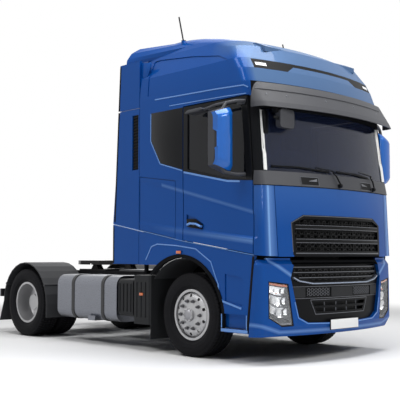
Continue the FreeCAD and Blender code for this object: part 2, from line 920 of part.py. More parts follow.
def leaf_springs():
    """Return the left leaf spring with its hangers, from the axle's seat to the rail."""
    seat = axle_height - beam_drop + beam_height / 2
    rail_bottom = rail_top - rail_height
    front_x = ahead(spring_half_length)
    rear_x = behind(spring_half_length)
    thickness = spring_leaf_thickness * spring_leaf_count
    y_low = spring_y - spring_width / 2
    y_high = spring_y + spring_width / 2
    middle = Vector(front_axle_x, y_low, seat)
    end_height = seat + spring_camber
    low_arc = Part.Arc(Vector(rear_x, y_low, end_height), middle, Vector(front_x, y_low, end_height))
    high_arc = Part.Arc(Vector(front_x, y_low, end_height + spring_leaf_thickness),
                        Vector(front_axle_x, y_low, seat + thickness),
                        Vector(rear_x, y_low, end_height + spring_leaf_thickness))
    edges = [low_arc.toShape(),
             Part.LineSegment(Vector(front_x, y_low, end_height),
                              Vector(front_x, y_low, end_height + spring_leaf_thickness)).toShape(),
             high_arc.toShape(),
             Part.LineSegment(Vector(rear_x, y_low, end_height + spring_leaf_thickness),
                              Vector(rear_x, y_low, end_height)).toShape()]
    leaves = Part.Face(Part.Wire(edges)).extrude(Vector(0, y_high - y_low, 0))
    hangers = []
    for x in (front_x - spring_hanger_thickness, rear_x):
        hangers.append(block(x, x + spring_hanger_thickness, y_low, rail_outer_half,
                             end_height, rail_bottom))
    return joined([leaves] + hangers)


def knuckle():
    """Return the left knuckle: fork, kingpin, brake plate, spindle and steering arm."""
    x = front_axle_x
    z = axle_height
    fork_low = z - kingpin_boss_height / 2 - knuckle_fork_gap - knuckle_fork_thickness
    fork_high = z + kingpin_boss_height / 2 + knuckle_fork_gap + knuckle_fork_thickness
    parts = [
        post(x, kingpin_y, fork_low, fork_low + knuckle_fork_thickness, kingpin_boss_radius),
        post(x, kingpin_y, fork_high - knuckle_fork_thickness, fork_high, kingpin_boss_radius),
        cross_rod(x, z, knuckle_plate_y, knuckle_plate_y + knuckle_plate_thickness, knuckle_plate_radius),
        cross_rod(x, z, knuckle_plate_y, front_wheel_centre_y + front_dish_depth - 2 * disc_thickness,
                  spindle_radius)]
    for low in (fork_low, fork_high - knuckle_fork_thickness):
        parts.append(block(x - kingpin_boss_radius, x + kingpin_boss_radius, kingpin_y,
                           knuckle_plate_y, low, low + knuckle_fork_thickness))
    arm_high = fork_low + steering_arm_thickness
    eye_x = x - steering_arm_reach
    parts.append(post(eye_x, kingpin_y, fork_low, arm_high, tie_rod_eye_radius))
    parts.append(plan_prism([(x, kingpin_y - kingpin_boss_radius), (eye_x, kingpin_y - tie_rod_eye_radius),
                             (eye_x, kingpin_y + tie_rod_eye_radius), (x, kingpin_y + kingpin_boss_radius)],
                            fork_low, arm_high))
    return joined(parts).cut(post(eye_x, kingpin_y, fork_low - cut_overrun, arm_high + cut_overrun,
                                  tie_rod_pin_radius + tie_rod_gap))


def tie_rod():
    """Return the bar that joins the two steering arms, with its pins."""
    x = front_axle_x - steering_arm_reach
    fork_low = (axle_height - kingpin_boss_height / 2 - knuckle_fork_gap - knuckle_fork_thickness)
    top = fork_low - tie_rod_gap
    z = top - tie_rod_end_height / 2
    parts = [cross_rod(x, z, -kingpin_y, kingpin_y, tie_rod_radius)]
    for side in (-1, 1):
        parts.append(post(x, side * kingpin_y, top - tie_rod_end_height, top, tie_rod_eye_radius))
        parts.append(post(x, side * kingpin_y, top, fork_low + steering_arm_thickness,
                          tie_rod_pin_radius))
    return joined(parts)


def rear_axle():
    """Return the driven axle: banjo housing, tubes and brake plates."""
    x = rear_axle_x
    z = axle_height
    end_y = rear_wheel_centre_y + rear_dish_depth - disc_thickness
    banjo = turned_about_y([
        (0, -banjo_neck_half_width), (axle_tube_radius, -banjo_neck_half_width), (banjo_radius,
                                                                                  -banjo_half_width),
        (banjo_radius, banjo_half_width), (axle_tube_radius, banjo_neck_half_width),
        (0, banjo_neck_half_width)])
    parts = [moved(banjo, x, 0, z), cross_rod(x, z, -end_y, end_y, axle_tube_radius),
             rod(Vector(x, 0, z), Vector(x + pinion_reach, 0, z + axle_tube_radius / 2), pinion_radius)]
    for side in (-1, 1):
        y_ends = sorted((side * rear_brake_inner_y, side * (rear_brake_inner_y + rear_brake_width)))
        parts.append(cross_rod(x, z, y_ends[0], y_ends[1], rear_brake_radius))
    for side in (-1, 1):
        y_ends = sorted((side * (air_spring_y - carrier_width / 2),
                         side * (air_spring_y + carrier_width / 2)))
        parts.append(block(x - air_spring_offset - carrier_width, x + air_spring_offset + carrier_width,
                           y_ends[0], y_ends[1], z - carrier_height / 2, z + carrier_height / 2))
        for offset in (-air_spring_offset, air_spring_offset):
            parts.append(post(x + offset, side * air_spring_y, z + carrier_height / 2,
                              rail_top - rail_height, air_spring_radius))
    return joined(parts)


# Frame and what it carries

def rail():
    """Return the left channel rail, its web outside."""
    x_low = frame_end_x
    x_high = ahead(frame_front_ahead)
    outer = block(x_low, x_high, rail_outer_half - rail_flange, rail_outer_half,
                  rail_top - rail_height, rail_top)
    hollow = block(x_low - cut_overrun, x_high + cut_overrun, rail_outer_half - rail_flange - cut_overrun,
                   rail_outer_half - rail_plate, rail_top - rail_height + rail_plate, rail_top - rail_plate)
    return outer.cut(hollow)


def ladder_frame():
    """Return both rails with their crossmembers and the rear beam."""
    parts = [rail(), mirrored(rail())]
    x_low = frame_end_x
    run = ahead(frame_front_ahead) - frame_end_x - crossmember_depth
    inner = rail_outer_half - rail_plate
    middle = rail_top - rail_height / 2
    for share in crossmember_shares:
        x = x_low + share * run
        parts.append(block(x, x + crossmember_depth, -inner, inner, middle, middle + crossmember_height / 2))
    front_low = rail_top - rail_height + rail_plate
    parts.append(block(x_low + run, x_low + run + crossmember_depth, -inner, inner, front_low,
                       front_low + crossmember_height / 2))
    parts.append(block(x_low, x_low + rear_beam_depth, -rear_beam_half, rear_beam_half,
                       rear_beam_bottom, rear_beam_bottom + rear_beam_height))
    for side in (-1, 1):
        y_ends = sorted((side * rear_beam_bracket_half, side * rail_outer_half))
        parts.append(block(x_low, x_low + rear_beam_depth, y_ends[0], y_ends[1],
                           rear_beam_bottom, rail_top - rail_height))
    return joined(parts)


def powertrain():
    """Return the engine with gearbox as one plain block, the radiator and the propeller shaft."""
    front = ahead(engine_front_ahead)
    rear = behind(engine_rear_behind)
    engine = block(rear, front, -engine_half_width, engine_half_width, engine_bottom, engine_top)
    gearbox = block(rear - gearbox_length, rear, -gearbox_half_width, gearbox_half_width,
                    engine_bottom, gearbox_top)
    parts = [engine, gearbox]
    inner = rail_outer_half - rail_plate
    foot_low = rail_top - rail_height + rail_plate
    for x in (front - engine_foot_length, rear):
        parts.append(block(x, x + engine_foot_length, -inner, inner, foot_low,
                           foot_low + engine_foot_height))
    shaft_end = rear_axle_x + pinion_reach + propshaft_end_gap
    shaft = rod(Vector(rear - gearbox_length, 0, (engine_bottom + gearbox_top) / 2),
                Vector(shaft_end, 0, axle_height + axle_tube_radius / 2), propshaft_radius)
    block_with_shaft = joined(parts + [shaft])
    between = rail_outer_half - rail_flange
    radiator = block(ahead(radiator_front_ahead) - radiator_thickness, ahead(radiator_front_ahead),
                     -between, between, radiator_bottom, radiator_top)
    return group([block_with_shaft, radiator])


def fuel_tank():
    """Return the left fuel tank with its straps, step and bracket."""
    x_low = behind(tank_rear_behind)
    x_high = behind(tank_front_behind)
    tank = rounded_x(block(x_low, x_high, tank_inner_y, tank_outer_y, tank_bottom, tank_top), tank_corner)
    parts = [tank]
    for share in strap_shares:
        x = x_low + share * (x_high - x_low) - strap_width / 2
        strap = block(x, x + strap_width, tank_inner_y - strap_thickness, tank_outer_y + strap_thickness,
                      tank_bottom - strap_thickness, tank_top + strap_thickness)
        parts.append(rounded_x(strap, tank_corner))
        parts.append(block(x, x + strap_width, rail_outer_half, tank_inner_y,
                           rail_top - rail_height, tank_top - tank_corner))
    x = x_low + tank_step_share * (x_high - x_low)
    parts.append(block(x, x + tank_step_width, tank_outer_y - tank_corner, tank_outer_y + tank_step_reach,
                       tank_bottom, tank_bottom + tank_corner / 2))
    return joined(parts)


def urea_tank():
    """Return the small ribbed tank ahead of the right fuel tank."""
    x_low = behind(urea_rear_behind)
    x_high = behind(urea_front_behind)
    body = rounded_x(block(x_low, x_high, -tank_outer_y, -tank_inner_y, urea_bottom, urea_top), urea_corner)
    grooves = []
    pitch = (x_high - x_low) / urea_rib_count
    for number in range(urea_rib_count):
        x = x_low + pitch * number + (pitch - urea_rib_width) / 2
        grooves.append(block(x, x + urea_rib_width, -tank_outer_y - cut_overrun,
                             -tank_outer_y + urea_rib_depth,
                             urea_bottom + urea_corner, urea_top - urea_corner))
    body = body.cut(grooves)
    arm = block(x_low + pitch, x_high - pitch, -tank_inner_y, -rail_outer_half,
                rail_top - rail_height, urea_top - urea_corner)
    return joined([body, arm])


def side_cover():
    """Return the left cover behind the front wheel, with its mudflap."""
    x_low = behind(cover_rear_behind)
    x_high = behind(cover_front_behind)
    body = rounded_z(block(x_low, x_high, cover_inner_y, cover_outer_y, cover_bottom, cover_top),
                     cover_corner)
    grooves = []
    pitch = (x_high - x_low) / (cover_rib_count + 1)
    for number in range(cover_rib_count):
        x = x_low + pitch * (number + 1) - cover_rib_width / 2
        grooves.append(block(x, x + cover_rib_width, cover_outer_y - cover_rib_depth,
                             cover_outer_y + cut_overrun,
                             cover_bottom + pitch, cover_top - pitch))
    arm = block(x_low + pitch, x_high - pitch, rail_outer_half, cover_inner_y,
                rail_top - rail_height, rail_top - rail_height + crossmember_height)
    flap = block(behind(mudflap_behind) - mudflap_thickness, behind(mudflap_behind),
                 liner_inner_y, cover_outer_y, mudflap_low, cover_top)
    bridge = block(x_high - cover_corner, behind(mudflap_behind) - mudflap_thickness / 2,
                   cover_inner_y + cover_corner,
                   cover_outer_y - cover_corner, cover_bottom + cover_corner, cover_top - cover_corner)
    return joined([body.cut(grooves), arm, bridge, flap])


def exhaust_box():
    """Return the silencer box on the left with its outlet pipe."""
    front_x = behind(cover_rear_behind)
    rear_x = behind(tank_front_behind)
    body = rounded_x(block(rear_x + panel_gap, front_x - panel_gap, tank_inner_y, tank_outer_y,
                           exhaust_bottom, exhaust_top), urea_corner)
    arm_x = (rear_x + front_x - strap_width) / 2
    arm = block(arm_x, arm_x + strap_width, rail_outer_half, tank_inner_y, rail_top - rail_height,
                exhaust_top - urea_corner)
    pipe = rod(Vector((rear_x + front_x) / 2, tank_outer_y - tank_corner * 2, exhaust_bottom),
               Vector((rear_x + front_x) / 2, tank_outer_y - tank_corner,
                      exhaust_bottom - exhaust_pipe_reach),
               exhaust_pipe_radius)
    return joined([body, arm, pipe])


def mudguard():
    """Return the left rear mudguard: a rolled shell with its brackets to the rail."""
    x = rear_axle_x
    z = axle_height
    outer = guard_radius + guard_thickness
    rear_x = x - outer - guard_rear_flare

    profile = []
    for number in range(guard_steps + 1):
        angle = math.pi * number / guard_steps
        profile.append((x + outer * math.cos(angle), z + outer * math.sin(angle)))
    inner_profile = []
    for number in range(guard_steps + 1):
        angle = math.pi * (guard_steps - number) / guard_steps
        inner_profile.append((x + guard_radius * math.cos(angle), z + guard_radius * math.sin(angle)))
    points = [(x + outer, guard_front_low)] + profile
    points += [(rear_x, guard_rear_low), (rear_x + guard_thickness, guard_rear_low)]
    points += inner_profile + [(x + guard_radius, guard_front_low)]
    shell = side_prism(points, guard_inner_y, guard_outer_y)
    brackets = []
    reach = guard_radius + guard_thickness / 2
    lift = reach * math.sin(math.radians(guard_bracket_angle_deg))
    span = reach * math.cos(math.radians(guard_bracket_angle_deg))
    for offset in (-span, span):
        brackets.append(cross_rod(x + offset, z + lift, rail_outer_half, guard_outer_y, guard_bracket_radius))
    return joined([shell] + brackets)


# Fifth wheel

def coupling_x():
    """Return the x of the coupling's kingpin."""
    return behind(coupling_behind)


def fifth_wheel_plate():
    """Return the coupling plate with its throat, rim and pivot lugs."""
    x = coupling_x()
    front = x + coupling_front_reach
    rear = x - coupling_rear_reach
    bottom = coupling_top - coupling_plate_thickness
    half = coupling_half_width
    corner = coupling_half_width * coupling_corner_share
    outline = [(front, half - corner), (front, -half + corner), (front - corner, -half),
               (rear + corner, -half),
               (rear, -half + corner / 2), (rear, -throat_half_width), (x, -kingpin_bore_radius),
               (x, kingpin_bore_radius), (rear, throat_half_width), (rear, half - corner / 2),
               (rear + corner, half), (front - corner, half)]
    plate = plan_prism(outline, bottom, coupling_top)
    rim_low = coupling_top - coupling_rim_depth
    inner = [(front - coupling_rim_wall, half - corner), (front - coupling_rim_wall, -half + corner),
             (front - corner, -half + coupling_rim_wall), (rear + corner, -half + coupling_rim_wall),
             (rear + coupling_rim_wall, -half + corner / 2), (rear - cut_overrun, -half + corner / 2),
             (rear - cut_overrun, half - corner / 2), (rear + coupling_rim_wall, half - corner / 2),
             (rear + corner, half - coupling_rim_wall), (front - corner, half - coupling_rim_wall)]
    skirt = plan_prism(outline, rim_low, bottom).cut(plan_prism(inner, rim_low - cut_overrun, bottom))
    jaw = post(x, 0, rim_low, bottom, kingpin_bore_radius * 3)
    pivot_z = coupling_top - coupling_pivot_drop
    lugs = []
    for side in (-1, 1):
        y_ends = sorted((side * coupling_lug_inner_y, side * (coupling_lug_inner_y + coupling_lug_width)))
        lugs.append(block(x - coupling_lug_radius, x + coupling_lug_radius, y_ends[0], y_ends[1],
                          pivot_z, bottom))
        lugs.append(cross_rod(x, pivot_z, y_ends[0], y_ends[1], coupling_lug_radius))
    body = joined([plate, skirt, jaw] + lugs)
    bore = post(x, 0, rim_low - cut_overrun, coupling_top + cut_overrun, kingpin_bore_radius)
    pins = cross_rod(x, pivot_z, -coupling_half_width, coupling_half_width,
                     coupling_pivot_radius + tilt_pin_clearance)
    middle = block(x - coupling_half_width, x + coupling_half_width, -coupling_lug_inner_y,
                   coupling_lug_inner_y,
                   0, coupling_top)
    return body.cut([bore, pins.cut(middle)])


def fifth_wheel_base():
    """Return the mounting plate with a pair of ears and a pin on each side."""
    x = coupling_x()
    pivot_z = coupling_top - coupling_pivot_drop
    parts = [block(x - coupling_base_half_length, x + coupling_base_half_length, -rail_outer_half,
                   rail_outer_half, rail_top, rail_top + coupling_base_thickness)]
    lug_low = coupling_lug_inner_y
    lug_high = coupling_lug_inner_y + coupling_lug_width
    for side in (-1, 1):
        for y in (lug_low - coupling_ear_width - running_gap, lug_high + running_gap):
            y_ends = sorted((side * y, side * (y + coupling_ear_width)))
            parts.append(side_prism([(x - coupling_ear_half_length, rail_top),
                                     (x + coupling_ear_half_length, rail_top),
                                     (x + coupling_pivot_radius, pivot_z + coupling_pivot_radius),
                                     (x - coupling_pivot_radius, pivot_z + coupling_pivot_radius)],
                                    y_ends[0], y_ends[1]))
        y_ends = sorted((side * (lug_low - coupling_ear_width), side * (lug_high + coupling_ear_width)))
        parts.append(cross_rod(x, pivot_z, y_ends[0], y_ends[1], coupling_pivot_radius))
    return joined(parts)


# Cab shell and its panels

def door_outline(grow):
    """Return the door's outline in the side view, grown by a gap."""
    front = ahead(door_front_ahead) + grow
    rear = behind(door_rear_behind) - grow
    low_front = split_height(door_front_ahead) + split_gap - grow
    low_middle = split_height(split_middle_ahead) + split_gap - grow
    return [(rear, low_middle), (front, low_front), (front, door_belt_front),
            (ahead(door_top_front_ahead) + grow, door_top + grow), (rear, door_top + grow)]


def door_window_outline(shrink):
    """Return the outline of the window in the door, shrunk all round."""
    rear = behind(door_rear_behind) + door_window_rear_inset + shrink
    top = door_top - door_window_top_inset - shrink
    slope = (door_front_ahead - door_top_front_ahead) / (door_top - door_belt_front)
    front_low = ahead(door_front_ahead) - door_window_front_inset - shrink
    front_high = front_low - slope * (top - door_belt_front)
    return [(rear, door_belt_rear + shrink), (ahead(door_belt_middle_ahead), door_belt_middle + shrink),
            (front_low, door_belt_front + shrink), (front_high, top), (rear, top)]


def side_slab(points, depth, thickness):
    """Return a panel of the left side wall with an outline in the side view."""
    return side_prism(points, cab_half_width - depth - thickness, cab_half_width - depth)


def quarter_outline(shrink):
    """Return the outline of the window behind the door."""
    return [(behind(quarter_rear_behind) + shrink, quarter_top - shrink),
            (behind(quarter_rear_behind) + shrink, quarter_rear_low),
            (behind(quarter_corner_behind) + shrink, quarter_corner_height + shrink),
            (behind(quarter_front_behind) - shrink, quarter_front_height + shrink),
            (behind(quarter_front_behind) - shrink, quarter_top - shrink)]


def hatch_outline(grow):
    """Return the outline of the locker hatch behind the door."""
    rear = behind(cab_rear_behind) + hatch_rear_inset - grow
    front = behind(hatch_front_behind) + grow
    low_rear = split_height(-cab_rear_behind + hatch_rear_inset) + split_gap - grow
    low_front = split_height(-hatch_front_behind) + split_gap - grow
    return [(rear, low_rear), (front, low_front), (front, hatch_top_front + grow),
            (rear, hatch_top_rear + grow)]


def windscreen_opening(shrink):
    """Return the space of the windscreen opening."""
    return block(ahead(0), ahead(front_overhang + cut_overrun), -windscreen_half_width + shrink,
                 windscreen_half_width - shrink, cowl_top + shrink, windscreen_top - shrink)


def cab_shell():
    """Return the welded cab: walls, floor, firewall, pillars and tilt arms, open at doors and windows."""
    shell = cab_layer(0, cab_wall).common(above_split())
    front_low = block(ahead(firewall_ahead), ahead(front_overhang + cut_overrun),
                      -cab_half_width - cut_overrun,
                      cab_half_width + cut_overrun, 0, cowl_top)
    far = cab_half_width + cut_overrun
    door_hole = side_prism(door_outline(door_gap), -far, far)
    quarter_hole = side_prism(quarter_outline(0), -far, far)
    slot = side_slab(hatch_outline(panel_gap), -cut_overrun, hatch_thickness + cut_overrun + running_gap)
    channel = side_channel()
    shell = shell.cut([front_low, door_hole, quarter_hole, windscreen_opening(0), slot, mirrored(slot),
                       channel, mirrored(channel)])
    return joined([shell, pillar_foot(1), pillar_foot(-1)] + cab_floor() + tilt_arms())


def pillar_foot(side):
    """Return one front pillar below the windscreen, behind the corner panel, tied to the firewall."""
    zone = block(ahead(door_front_ahead) + door_gap, ahead(front_overhang), lid_top_half_width + panel_gap,
                 cab_half_width, 0, cowl_top)
    skin = cab_layer(panel_thickness, cab_wall - panel_thickness).common(zone).common(above_split())
    outer = cab_half_width - cab_wall - door_gap
    tie = block(ahead(firewall_ahead), ahead(reach_at_cowl_top), outer - cab_wall, outer, firewall_bottom,
                cowl_top - cab_wall)
    foot = joined([skin, tie.common(cab_body(cab_wall))])
    return foot if side > 0 else mirrored(foot)


def cab_floor():
    """Return the floor in three widths and the firewall, clear of the doors' hinged edges."""
    wide = cab_half_width - cab_wall
    beside_door = wide - running_gap
    narrow = wide - door_gap
    top = cab_floor_bottom + cab_floor_thickness
    rear_end = behind(door_rear_behind) - door_gap
    return [block(behind(cab_rear_behind) + cab_wall, rear_end, -wide, wide, cab_floor_bottom, top),
            block(rear_end, ahead(floor_step_ahead), -beside_door, beside_door, cab_floor_bottom, top),
            block(ahead(floor_step_ahead), ahead(firewall_ahead), -narrow, narrow, cab_floor_bottom, top),
            block(ahead(firewall_ahead) - cab_wall, ahead(firewall_ahead), -narrow, narrow,
                  firewall_bottom, cowl_top)]


def tilt_arms():
    """Return the two arms that reach from the cab floor down to the tilt pins."""
    pivot = (ahead(tilt_ahead), tilt_height)
    knee = (pivot[0] - tilt_arm_knee_behind, pivot[1] + tilt_arm_knee_rise)
    half = tilt_arm_depth / 2
    arms = []
    for side in (-1, 1):
        y_ends = sorted((side * tilt_arm_inner_y, side * (tilt_arm_inner_y + tilt_arm_width)))
        turn = math.atan2(tilt_arm_knee_rise, -tilt_arm_knee_behind)
        across = (math.sin(turn) * half, -math.cos(turn) * half)
        arm = side_prism([(pivot[0] + across[0], pivot[1] + across[1]),
                          (knee[0] + across[0], knee[1] + across[1]),
                          (knee[0] + half, cab_floor_bottom), (knee[0] - half, cab_floor_bottom),
                          (knee[0] - across[0], knee[1] - across[1]), (pivot[0] - across[0],
                                                                       pivot[1] - across[1])],
                         y_ends[0], y_ends[1])
        eye = cross_rod(pivot[0], pivot[1], y_ends[0], y_ends[1], half)
        bore = cross_rod(pivot[0], pivot[1], y_ends[0] - cut_overrun, y_ends[1] + cut_overrun,
                         tilt_pin_radius + tilt_pin_clearance)
        arms.append(joined([arm, eye]).cut(bore))
    return arms


def cab_supports():
    """Return the tilt pins on the rails and the sprung rests under the cab's rear."""
    parts = []
    for side in (-1, 1):
        y_ends = sorted((side * rail_outer_half, side * (tilt_arm_inner_y + tilt_arm_width)))
        pin = cross_rod(ahead(tilt_ahead), tilt_height, y_ends[0], y_ends[1], tilt_pin_radius)
        collar_ends = sorted((side * rail_outer_half, side * (tilt_arm_inner_y - running_gap)))
        collar = cross_rod(ahead(tilt_ahead), tilt_height, collar_ends[0], collar_ends[1], tilt_arm_depth / 2)
        parts.append(joined([pin, collar]))
    x = behind(cab_rest_behind)
    beam_top = rail_top + cab_rest_beam_height
    rest = [block(x - cab_rest_beam_depth / 2, x + cab_rest_beam_depth / 2, -cab_rest_y - cab_rest_radius,
                  cab_rest_y + cab_rest_radius, rail_top, beam_top)]
    for side in (-1, 1):
        rest.append(post(x, side * cab_rest_y, beam_top, cab_floor_bottom - running_gap, cab_rest_radius))
    parts.append(joined(rest))
    return group(parts)


def roof_levels(inset):
    """Return the rows of the roof's plan outlines."""
    rows = []
    height = vehicle_height - roof_joint - inset
    for height_share, reach_share, width_share, corner_share in roof_level_shares:
        rows.append((roof_joint + height * height_share, reach_at_roof_joint * reach_share,
                     cab_half_width * width_share, cab_corner_radius * corner_share))
    return rows


@functools.lru_cache(maxsize=None)
def roof_body(inset):
    """Return the roof's outer form, shrunk by an inset."""
    low = bowed_body(roof_levels(inset)[:3], behind(cab_rear_behind), inset, True)
    high = bowed_body(roof_levels(inset)[2:], behind(cab_rear_behind), inset, True)
    return joined([low, high])


def roof_strip_zone():
    """Return the space of the dark strip, thin in the middle and deep towards its ends."""
    half = [(roof_strip_thin_y, roof_strip_thin_low), (roof_strip_deep_y, roof_strip_low),
            (roof_strip_half_width, roof_strip_low), (roof_strip_half_width, roof_strip_high)]
    outline = half + [(-y, z) for y, z in reversed(half)]
    return front_prism(outline, ahead(0), ahead(front_overhang))


def roof_panel_recess():
    """Return the space of the shallow panels in the roof's two sides."""
    rear = behind(cab_rear_behind)
    length = ahead(reach_at_roof_joint) - rear
    height = vehicle_height - roof_joint
    points = [(rear + length * length_share, roof_joint + height * height_share)
              for length_share, height_share in roof_panel_shares]
    zone = side_prism(points, -cab_half_width - cut_overrun, cab_half_width + cut_overrun)
    return zone.cut(roof_body(roof_panel_depth))


def roof_shell():
    """Return the high roof as a hollow shell, with its recesses and the antennas."""
    shell = roof_body(0).cut(roof_body(cab_wall))
    strip_recess = roof_strip_zone().cut(roof_body(roof_strip_depth))
    return joined([shell.cut([strip_recess, roof_panel_recess()]), antenna(-1), antenna(1)])


def antenna(side):
    """Return one leaning aerial with its foot."""
    x = ahead(antenna_ahead)
    y = side * antenna_y
    base = vehicle_height - antenna_height / 2
    foot = post(x, y, base - antenna_foot_height * 3, base + antenna_foot_height, antenna_foot_radius)
    mast = rod(Vector(x, y, base), Vector(x - antenna_lean, y, vehicle_height + antenna_height),
               antenna_radius)
    return joined([foot, mast])


def roof_strip():
    """Return the dark strip across the roof's front, which seats in its recess."""
    return roof_body(0).cut(roof_body(roof_strip_depth)).common(roof_strip_zone())


def side_channel():
    """Return the space of the long shallow channel along the left side of the cab."""
    ends = ((behind(cab_rear_behind) - cut_overrun, channel_rear_top, channel_rear_low, channel_rear_depth),
            (ahead(front_overhang), channel_front_top, channel_front_low, channel_front_depth))
    far = cab_half_width + cut_overrun
    sections = []
    for x, top, low, depth in ends:
        deep = cab_half_width - depth
        corners = [Vector(x, far, top), Vector(x, cab_half_width, top),
                   Vector(x, deep, top - channel_top_slope),
                   Vector(x, deep, low + channel_low_slope), Vector(x, cab_half_width, low), Vector(x, far,
                                                                                                    low)]
        sections.append(Part.makePolygon(corners + corners[:1]))
    return Part.makeLoft(sections, True, True)


def door(side):
    """Return one door leaf with its window opening and handle recess."""
    leaf = side_slab(door_outline(0), 0, cab_wall)
    hole = side_slab(door_window_outline(0), -cut_overrun, cab_wall + 2 * cut_overrun)
    x = ahead(handle_ahead)
    recess = side_slab([(x - handle_length / 2, handle_height),
                        (x + handle_length / 2, handle_height - handle_drop),
                        (x + handle_length / 2, handle_height - handle_drop + handle_width / 2),
                        (x, handle_height + handle_width / 2),
                        (x - handle_length / 2, handle_height + handle_width)],
                       -cut_overrun, handle_depth + cut_overrun)
    leaf = leaf.cut([hole, recess, side_channel()])
    return leaf if side > 0 else mirrored(leaf)


def door_glass(side):
    """Return the pane that fills a door's window."""
    pane = side_slab(door_window_outline(0), glass_depth, glass_thickness)
    return pane if side > 0 else mirrored(pane)


def hatch(side):
    """Return one locker hatch."""
    leaf = side_slab(hatch_outline(0), 0, hatch_thickness).cut(side_channel())
    return leaf if side > 0 else mirrored(leaf)


def cab_glass():
    """Return the windscreen and the two quarter windows."""
    screen = cab_layer(windscreen_depth, glass_thickness).common(windscreen_opening(0))
    pane = side_slab(quarter_outline(0), glass_depth, glass_thickness)
    return group([screen, pane, mirrored(pane)])


@functools.lru_cache(maxsize=None)
def cowl_body(inset):
    """Return the outer form of the band under the windscreen, shrunk by an inset."""
    return bowed_body(cab_levels[1:3], behind(cab_rear_behind), inset - cowl_proud, True)


def cowl_panel():
    """Return the dark band under the windscreen, with the seat that carries the lid's hinge."""
    zone = block(ahead(door_front_ahead) + door_gap, ahead(front_overhang + cut_overrun),
                 -cab_half_width - cut_overrun, cab_half_width + cut_overrun, cowl_bottom, cowl_top)
    band = cowl_body(0).cut(cowl_body(cowl_proud + panel_thickness)).common(zone)
    web = block(ahead(firewall_ahead), ahead(front_overhang), -lid_seat_half_width, lid_seat_half_width,
                cowl_bottom + panel_thickness, cowl_top - panel_thickness)
    seat = block(ahead(firewall_ahead), ahead(front_overhang), -lid_seat_half_width, lid_seat_half_width,
                 cowl_bottom - lid_seat_height, cowl_bottom + 2 * panel_thickness)
    seat = seat.common(cab_layer(lid_thickness + running_gap, lid_seat_thickness))
    return joined([band, web.common(cowl_body(cowl_proud)), seat])


def lid_outline(grow):
    """Return the front lid's outline in the front view."""
    low = lid_bottom + split_gap - grow
    high = cowl_bottom - panel_gap + grow
    half = [(lid_low_half_width + grow, low), (lid_top_half_width + grow, high)]
    return half + [(-y, z) for y, z in reversed(half)]


def grille_outline(shrink):
    """Return the upper grille's six-cornered outline in the front view."""
    half = [(grille_bottom_half_width - shrink, grille_bottom + shrink),
            (grille_half_width - shrink, grille_top - grille_shoulder_drop),
            (grille_top_half_width - shrink / 2, grille_top - shrink)]
    return half + [(-y, z) for y, z in reversed(half)]


def front_slab(points, depth, thickness):
    """Return a bowed panel of the cab's front with an outline in the front view."""
    zone = front_prism(points, ahead(door_front_ahead), ahead(front_overhang + cut_overrun))
    return cab_layer(depth, thickness).common(zone)


def front_lid():
    """Return the lid below the cowl, open where the grille sits."""
    lid = front_slab(lid_outline(0), 0, lid_thickness)
    return lid.cut(front_prism(grille_outline(0), ahead(0), ahead(front_overhang + cut_overrun)))


def across_bar(z, height):
    """Return the space of a level bar across the whole front."""
    return block(ahead(0), ahead(front_overhang), -cab_half_width, cab_half_width, z - height / 2,
                 z + height / 2)


def upper_grille():
    """Return the grille: a frame, two deep bars, thin slats and mullions."""
    nose = ahead(front_overhang)
    open_zone = front_prism(grille_outline(grille_frame), ahead(0), nose)
    seat_zone = front_prism(grille_outline(grille_frame / 2), ahead(0), nose)
    ring = front_prism(grille_outline(0), ahead(0), nose).cut(open_zone)
    height = grille_top - grille_bottom
    bars = [across_bar(grille_bottom + share * height, grille_bar_height) for share in grille_bar_shares]
    bars = [bar.common(seat_zone) for bar in bars]
    thick = cab_layer(0, grille_depth).common(joined([ring] + bars))
    slats = [across_bar(grille_bottom + share * height, grille_slat_height) for share in grille_slat_shares]
    for share in grille_mullion_shares:
        y = share * grille_half_width
        slats.append(block(ahead(0), nose, y - grille_mullion_width / 2, y + grille_mullion_width / 2,
                           grille_bottom, grille_top))
    thin = cab_layer(grille_depth / 3, grille_depth / 3).common(joined(slats).common(seat_zone))
    return joined([thick, thin])


def corner_panels():
    """Return the two panels between the lid and the doors."""
    zone = block(ahead(door_front_ahead) + door_gap, ahead(front_overhang + cut_overrun), 0,
                 cab_half_width + cut_overrun, 0, cowl_bottom - panel_gap)
    lid_zone = front_prism(lid_outline(panel_gap), ahead(0), ahead(front_overhang + cut_overrun))
    panel = cab_layer(0, panel_thickness).common(zone).common(above_split())
    return both_sides(panel.cut([lid_zone, side_channel()]))


@functools.lru_cache(maxsize=None)
def sun_visor():
    """Return the visor that stands out over the windscreen."""
    outer_levels = ((visor_low, front_overhang, visor_half_width, cab_corner_radius),
                    (visor_low + visor_drop, visor_front_reach, visor_half_width, cab_corner_radius),
                    (visor_top, reach_at_roof_joint + cab_wall, cab_half_width + panel_gap * 2,
                     cab_corner_radius))
    outer = bowed_body(outer_levels, ahead(0), 0, True)
    inner = bowed_body(outer_levels, ahead(0) - cut_overrun, visor_thickness, True)
    zone = block(ahead(visor_side_rear_ahead), ahead(front_overhang + cut_overrun), -visor_half_width,
                 visor_half_width,
                 visor_low, visor_top)
    shell = outer.cut(inner).common(zone)
    cap = outer.common(zone).common(block(ahead(0), ahead(front_overhang + cut_overrun), -visor_half_width,
                                          visor_half_width, visor_top - visor_thickness, visor_top))
    return joined([shell, cap]).cut(cab_body(0))


